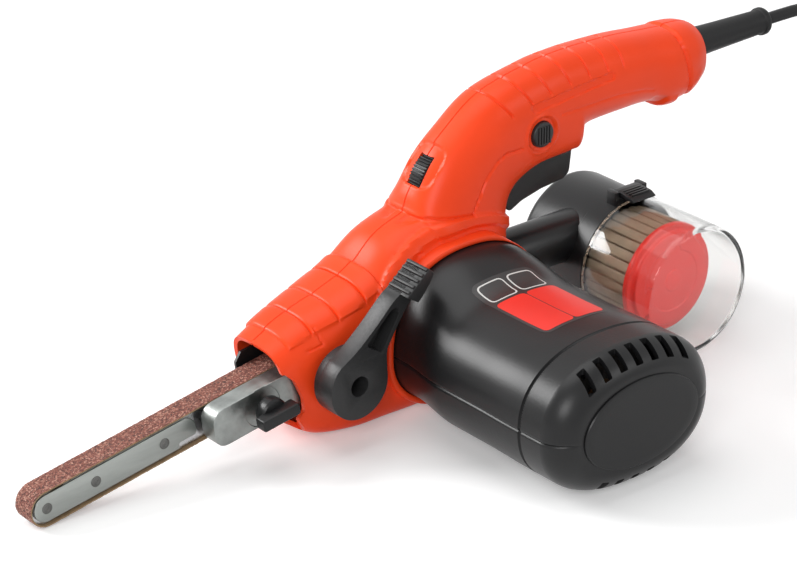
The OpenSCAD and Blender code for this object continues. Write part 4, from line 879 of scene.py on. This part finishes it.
# %% Housing openings
def egg(margin):
    """Outline of the motor case's neck with a margin round it."""
    turn = around(120)
    high = np.where(np.sin(turn) > 0, NECK[1], NECK[2]) + margin
    r = ((np.abs(np.cos(turn)) / (NECK[0] + margin)) ** OVAL + (np.abs(np.sin(turn)) / high) ** OVAL) ** (-1 / OVAL)
    return np.stack([r * np.cos(turn), MOTOR_Z + r * np.sin(turn)], 1)


TRIGGER_SLOT = [(41, 74), (60, 76), (95, 94), (95, 126), (62, 126), (39, 116), (39, 84)]
SCREWS = [(-24, 74, 23.5), (22, 124, 16), (110, 146, 14), (150, 122, 15.5), (-89, 13, 19), (20, 17, 24)]
WELL_R, HOUSING_WALL = 3.5, 2.4
slots = [prism(TRIGGER_SLOT, -7.3, 7.3), prism(disc(14.0, *DIAL), -4.8, 4.8)]
NOSE_NOTCH = [(-125, 45), (-107, 43), (-102, 38), (-97.5, 28), (-96.5, 21), (-99.5, 16.5), (-91, 4), (-91, -5),
              (-125, -5)]
near_cut = solid("near_cut", *joined(*slots, prism(disc(6.95, *LOCK), -30, -8), prism(egg(0.25), -36, -20),
                                     prism(fillet(NOSE_NOTCH, 2.5), -40, -14)), orange_shell)
far_cut = solid("far_cut", *joined(*slots, *[prism(disc(WELL_R, x, z), 11, 40) for x, z, _ in SCREWS]), orange_shell)
near_shell = solid("near_shell", *grid(near_skin), orange_shell, thick=HOUSING_WALL, cuts=[near_cut], sharp=40,
                   facing=(0, -1, 0))
far_shell = solid("far_shell", *grid(far_skin), orange_shell, thick=HOUSING_WALL, cuts=[far_cut], sharp=40,
                  facing=(0, 1, 0))
scrap(near_cut, far_cut)
print("shell faces", len(near_shell.data.polygons), len(far_shell.data.polygons))

# %% [markdown]
# The collar is the raised lip that holds the motor case, with a rounded edge. The far half gets its screw wells and
# the spigot that carries dust to the canister.

# %% Collar, wells and spigot
collar_rows = [(3.5, -22), (3.5, -28.6), (3.2, -29.4), (2.5, -29.9), (1.8, -30), (1.1, -29.9), (0.5, -29.5),
               (0.3, -28.9), (0.3, -24), (0.3, -22), (3.5, -22)]
inner = egg(0.3)
fade = 1 - 0.75 * ease((inner[:, :1] - 14) / 16)
collar_rings = [at_y(inner + (egg(m) - inner) * fade, y) for m, y in collar_rows]
collar = solid("collar", *grid(collar_rings, wrap=True), orange_shell)
well_rows = [[(WELL_R, 12.2), (WELL_R, reach - 1), (5, reach - 1), (5, 10), (1.9, 10), (1.9, 12.2)]
             for _, _, reach in SCREWS]
wells = solid("wells", *joined(*[lathe(rows, (x, 0, z), "y", 32) for rows, (x, z, _) in zip(well_rows, SCREWS)]),
              orange_shell)
INLET = (0, 5, 49)
spigot = solid("spigot", *lathe([(8, 24), (8, 56), (10.1, 56), (10.4, 55.4), (10.4, 24)], INLET, "x", 48), orange_shell)
seat(fuse("housing_near", near_shell, collar), "tool", "orange_plastic", "housing_left")
seat(fuse("housing_far", far_shell, wells, spigot), "tool", "orange_plastic", "housing_right")

# %% [markdown]
# Each housing screw is a pan head with a cross recess, which one unit shows and Geometry Nodes repeats.

# %% Housing screws
head = [(0, 13.9), (1.9, 14.0), (2.7, 13.8), (3.2, 13.2), (3.3, 12.4), (3.3, 12.1), (1.7, 12.1), (1.7, 0), (0, 0)]
crosses = [solid("cross_cut", *prism(rect(-a, a, -b, b), 13, 15), bright_steel) for a, b in ((0.45, 1.9), (1.9, 0.45))]
screws = repeated("screws", lathe(head, (0, 0, 0), "y", 40), [(x, 0, z) for x, z, _ in SCREWS], bright_steel,
                  cuts=crosses)
scrap(*crosses)
seat(screws, "tool", "steel", "housing_screws")

# %% [markdown]
# ## Motor case
# The case is two half shells that meet on the motor's axis. It flares up into the housing's collar, runs straight,
# has a ring groove where the end cap begins, and rounds over to a flat end. The section is a squarish oval all along.


# %% Motor case
CASE_A, CASE_B, CASE_WALL, CASE_STEPS = 51.0, 36.5, 3, 110


def case_half(t):
    """Half width and half heights above and below at a distance from the belt's mid-plane."""
    cut = 0.6 + 3.4 * (1 - ease((t - 36) / 30)) - 0.6 * ease((t - 90) / 30)
    cut += 1.2 * ease((t - 124.5) / 0.45) * (1 - ease((t - 125.9) / 0.45))
    over = np.clip((t - 140) / 14, 0, 1)
    cut += 13 * (1 - (1 - over ** 1.7) ** (1 / 1.7))
    flare = 13 * (1 - ease((t - 34) / 32))
    return CASE_A - cut, CASE_B - cut + flare, CASE_B - cut


def case_skin(upper):
    stations = np.concatenate([np.arange(26.3, 122, 1.2), np.arange(122, 130, 0.35), np.arange(130, 140, 0.9),
                               140 + 14 * np.linspace(0, 1, 40) ** 0.6])
    rings = []
    for t in stations:
        a, above_axis, below_axis = case_half(t)
        high = above_axis if upper else below_axis
        up, side = half_section(high, a, a, OVAL, OVAL, CASE_STEPS)
        inset = np.zeros(CASE_STEPS)
        inset[[0, 1, -2, -1]] = 0.9, 0.35, 0.35, 0.9
        rings.append(np.stack([side * (1 - inset / a), np.full(CASE_STEPS, -t), MOTOR_Z + (up if upper else -up)], 1))
        rings[-1][[0, -1], 2] = MOTOR_Z
    last = rings[-1]
    for share in (0.93, 0.8, 0.5, 0.2, 0.02):
        rings.append((last - (0, 0, MOTOR_Z)) * (share, 1, share) + (0, 0, MOTOR_Z))
    return grid(rings)


def prism_z(outline, z0, z1):
    points, faces = prism(outline, z0, z1)
    return points[:, [0, 2, 1]], faces


VENT_W, VENT_PITCH, VENT_SPAN = 4.6, 9.8, (-152.1, -142.5)


def vent_cut(count, z0, z1):
    a, b, half = *VENT_SPAN, VENT_W / 2
    slot = fillet(rect(-half, half, a, b), 0.5, 3)
    return joined(*[prism_z(slot + ((i - (count - 1) / 2) * VENT_PITCH, 0), z0, z1) for i in range(count)])


for name, replaced, way, count, low, high in (("case_upper", "motor_case_upper", 1, 7, 22, 60),
                                              ("case_lower", "motor_case_lower", -1, 5, -60, -22)):
    vents = solid("vents", *vent_cut(count, MOTOR_Z + low, MOTOR_Z + high), black_shell)
    case = solid(name, *case_skin(way > 0), black_shell, thick=CASE_WALL, cuts=[vents], sharp=40, facing=(0, 0, way))
    scrap(vents)
    seat(case, "tool", "black_plastic", replaced)

BADGE = ((36, 22.5, -153.8), (36, 22.5, -154.7), (35.6, 22.1, -155.2), (34.7, 21.2, -155.4), (30, 18, -155.5),
         (15, 9, -155.5), (1, 0.6, -155.5))
badge_turn = around(120)
badge_rings = [np.stack([a * np.cos(badge_turn), np.full(120, y), MOTOR_Z + b * np.sin(badge_turn)], 1)
               for a, b, y in BADGE]
seat(solid("badge_plate", *grid(badge_rings, wrap=True, caps=(True, True)), black_shell),
     "tool", "black_plastic", "motor_badge")

# %% [markdown]
# A printed panel lies on top of the case, left blank: a dark field with a red block in two parts and two pale frames.
# Each is a thin patch that follows the case's own curve, and a frame is a pale patch with a dark one on it.


# %% Printed panel
def case_top(x, t):
    a, above_axis, _ = case_half(t)
    return MOTOR_Z + above_axis * (1 - (np.abs(x) / a) ** OVAL) ** (1 / OVAL)


def patch(name, x0, x1, t0, t1, lift, finish_of, corner=3.0):
    corners = fillet(rect(x0, x1, t0, t1), corner, 6)
    run = np.concatenate([[0], np.cumsum(np.linalg.norm(np.diff(corners, axis=0, append=corners[:1]), axis=1))])
    at = np.linspace(0, run[-1], 160, endpoint=False)
    outline = np.stack([np.interp(at, run, np.append(c, c[0])) for c in corners.T], 1)
    middle = np.array([(x0 + x1) / 2, (t0 + t1) / 2])
    rings = [middle + (outline - middle) * share for share in np.linspace(1, 0.02, 16)]
    skin = [[(x, -t, case_top(x, t) + lift) for x, t in ring] for ring in rings]
    return solid(name, *grid(skin, wrap=True, caps=(False, True)), finish_of, thick=0.3, facing=(0, 0, 1))


FRAME_W = 0.8
panel_parts = [patch("panel_field", -20, 20, 52.5, 109.5, 0.1, panel_line, 5),
               patch("panel_block_a", -18.5, -0.3, 70.5, 107.5, 0.2, red_panel),
               patch("panel_block_b", 0.3, 18.5, 70.5, 107.5, 0.2, red_panel)]
for name, x0, x1 in (("a", -17.5, -1.2), ("b", 1.2, 17.5)):
    panel_parts += [patch("frame_" + name, x0, x1, 54.5, 68.5, 0.2, panel_white),
                    patch("frame_inside_" + name, x0 + FRAME_W, x1 - FRAME_W, 55.3, 67.7, 0.3, panel_line, 2.4)]
seat(fuse("printed_panel", *panel_parts), "tool", "red_plastic")

# %% [markdown]
# ## Controls
# The trigger is a moulding with a curved finger face. The dial is a knurled wheel that stands out of the column, and
# the lock button is a small ribbed disc. Knurls and ribs are repeated units.

# %% Trigger, dial and lock button
KNURLS, RIB_GAP = 44, 1.75
TRIGGER = [(46, 79.5), (54, 83.5), (67, 86.5), (82, 88), (86, 90.5), (87.5, 103), (87.5, 114), (66, 117), (52, 118),
           (45, 112), (43, 100), (43, 84)]
trigger_edge = fillet(TRIGGER, [3, 12, 20, 3, 5, 8, 1, 1, 1, 1, 8, 4], 8)
seat(solid("trigger_moulding", *prism(trigger_edge, -7, 7), black_shell, bevel=2.2, segments=5),
     "trigger", "black_plastic", "trigger")

wheel = solid("wheel", *lathe([(2.1, -4.5), (11.4, -4.5), (12.1, -4.1), (12.1, 4.1), (11.4, 4.5), (2.1, 4.5)],
                              at_y(DIAL), "y", 96), black_shell)
knurl_edge = fillet([(11.8, -0.62), (12.95, -0.3), (12.95, 0.3), (11.8, 0.62)], 0.15, 2)
knurls = repeated("knurls", prism(knurl_edge, -4.2, 4.2), [at_y(DIAL)] * KNURLS, black_shell, 360 / KNURLS, bevel=0.25)
seat(fuse("speed_wheel", wheel, knurls), "dial", "black_plastic", "speed_dial")

lock_body = solid("lock_body", *lathe([(0, -19.7), (5.6, -19.7), (6.3, -19.3), (6.7, -18.6), (6.7, -11), (0, -11)],
                                      at_y(LOCK), "y", 56), dark_grip)
rib_edge = fillet(rect(-0.45, 0.45, -4.6, 4.6), 0.3, 3)
rib_places = [(LOCK[0] + RIB_GAP * k, 0, LOCK[1]) for k in range(-2, 3)]
ribs = repeated("lock_ribs", prism(rib_edge, -20.45, -19.3), rib_places, dark_grip, bevel=0.2)
seat(fuse("lock_disc", lock_body, ribs), "lock", "grey_plastic", "lock_button")

# %% [markdown]
# ## Dust canister
# The canister is a black drum on the handle side of the motor, fed through a stout inlet tube. A clear cup closes it,
# and a clip on top holds the cup. Inside, a pleated paper filter carries a red cap.

# %% Canister
CAN = np.array([121.0, 0.0, 34.7])
drum = [(0, 31.4), (20, 31.4), (20.6, 32), (29.6, 32), (32.2, 31.3), (33.6, 29.8), (34.1, 27.6), (34.1, -4.4),
        (34.7, -5), (34.7, -16.6), (34.3, -17), (32.3, -17), (32.3, 26.6), (29.3, 29.6), (0, 29.6)]
inlet = [(10.6, 42.5), (13, 42.5), (13, 104), (10.6, 104)]
lugs = [prism_z(fillet(rect(x - 1.5, x + 1.5, -16, -9), 0.8, 3), 66.5, 74.9) for x in (111.5, 130.5)]
stem = [(18.2, 29.8), (18.2, -21), (20.6, -21), (20.6, 29.8)]
seat(fuse("dust_drum", solid("drum", *lathe(drum, CAN, "y", 128), black_shell),
          solid("inlet", *lathe(inlet, INLET, "x", 72), black_shell, bevel=0.6),
          solid("lugs", *joined(*lugs), black_shell, bevel=0.5),
          solid("stem", *lathe(stem, CAN, "y", 72), black_shell)), "canister", "black_plastic", "dust_canister")

cup_wall = [(0, -64.9), (30.4, -64.9), (31.6, -64.4), (32.2, -63.2), (32.3, -17.3), (34.7, -17.3), (34.7, -63.5),
            (34.3, -65.4), (33.2, -66.7), (31.4, -67.3), (0, -67.3)]
seat(solid("clear_dust_cup", *lathe(cup_wall, CAN, "y", 128), clear_cup), "cup", "clear_plastic", "dust_cup")

# %% Filter and cap
PLEATS = 30
fold = radians(180 / PLEATS)
pleat_edge = [(24.5, -1.0), (26.8, -0.93), (27.6, -0.8), (27.9, -0.5), (28, 0), (27.9, 0.5), (27.6, 0.8), (26.8, 0.93),
              (24.5, 1.0), (21.1, 1.0), (21.1, -1.0)]
pleat_flat = [(r * cos(fold * a), r * sin(fold * a)) for r, a in pleat_edge]
pleat_points, pleat_faces = prism(pleat_flat, -42, -14)
TOUCHING = (2 + 8, 2 + 10)  # the sides that the next pleats meet
open_sides = [f for k, f in enumerate(pleat_faces) if k not in TOUCHING]
filter_ring = repeated("pleated_filter", (pleat_points, open_sides), [CAN] * PLEATS, pleat_paper, 360 / PLEATS,
                       sharp=60)
weld(filter_ring.data, 10 * MERGE)
shade(filter_ring, 40)
seat(filter_ring, "canister", "filter_paper", "dust_filter")
cap_rows = [(0, -42.0), (27.9, -42.0), (28.4, -42.5), (28.4, -44.7), (27.8, -45.3), (25.2, -45.4), (24.7, -45.8),
            (24.4, -46.4), (24.4, -47.3), (23.8, -47.9), (23, -48), (17, -48), (16.4, -47.6), (6, -47.6), (5.4, -48),
            (0, -48)]
seat(solid("filter_lid", *lathe(cap_rows, CAN, "y", 120), red_cap_plastic), "canister", "red_plastic", "filter_cap")

# %% Cup clip
clip_side = fillet([(-9.6, 70.1), (-9.6, 74.6), (-14, 75), (-23, 74.2), (-26, 72.6), (-26, 71.8), (-22, 71.8),
                    (-14.6, 71.4), (-13.6, 70.1)], [1.8, 2.2, 3, 2, 1, 0.5, 2, 1, 1], 5)
clip_points, clip_faces = prism(clip_side, 113.3, 128.7)
clip = solid("cup_clip", clip_points[:, [1, 0, 2]], clip_faces, black_shell, bevel=0.6)
grip_rib = prism_z(fillet(rect(-6, 6, -0.5, 0.5), 0.4, 3), -0.6, 0.5)
grip_places = [(CAN[0], -16.2 - 2.2 * k, 74.6) for k in range(4)]
grips = repeated("clip_ribs", grip_rib, grip_places, black_shell, bevel=0.2)
seat(fuse("clip", clip, grips), "latch", "black_plastic", "cup_latch")

# %% [markdown]
# ## Strain relief
# A soft rubber sleeve takes the cord out of the handle. It has a seat ring, tapers along its length and ends in a bead.

# %% Strain relief
sleeve = [(3.5, -6), (8.1, -6), (8.1, 1), (8.7, 1.1), (8.9, 1.6), (8.9, 3.4), (8.6, 4.0), (8.0, 4.4), (7.4, 20),
          (6.9, 38), (6.5, 51.8), (6.7, 52.6), (7.3, 53.1), (7.45, 54), (7.4, 55.4), (6.9, 56.4), (5.6, 57), (3.5, 57)]
seat(solid("cord_sleeve", *lathe(sleeve, (HANDLE_END, 0, RELIEF_Z), "x", 64), soft_rubber),
     "tool", "rubber", "strain_relief")

# %% [markdown]
# ## Pieces that stay as solids
# The hidden pieces keep their solids, and each gets the finish of its metal or plastic.

# %% Solids that stay
STAY = {
    bright_steel: ("front_roller", "arm_core", "drive_spindle", "spindle_bearings", "motor_bearings", "armature_shaft",
                   "motor_pinion", "drive_gear", "trigger_pin", "latch_pin"),
    black_shell: ("nose_guard", "switch_block", "cooling_fan"), dark_grip: ("motor_end_bracket", "speed_control"),
    cast_alloy: ("gear_plate",), soft_rubber: ("drive_roller",),
    copper_alloy: ("commutator", "brush_holders", "pinion_bush"), dark_iron: ("armature_core", "field_core"),
    carbon_black: ("carbon_brushes",)}
for mat, names in STAY.items():
    for name in names:
        coat(frame["nodes"][name], mat)
print("solids that stay", sum(len(names) for names in STAY.values()))

# %% Update the view layer
bpy.context.view_layer.update()
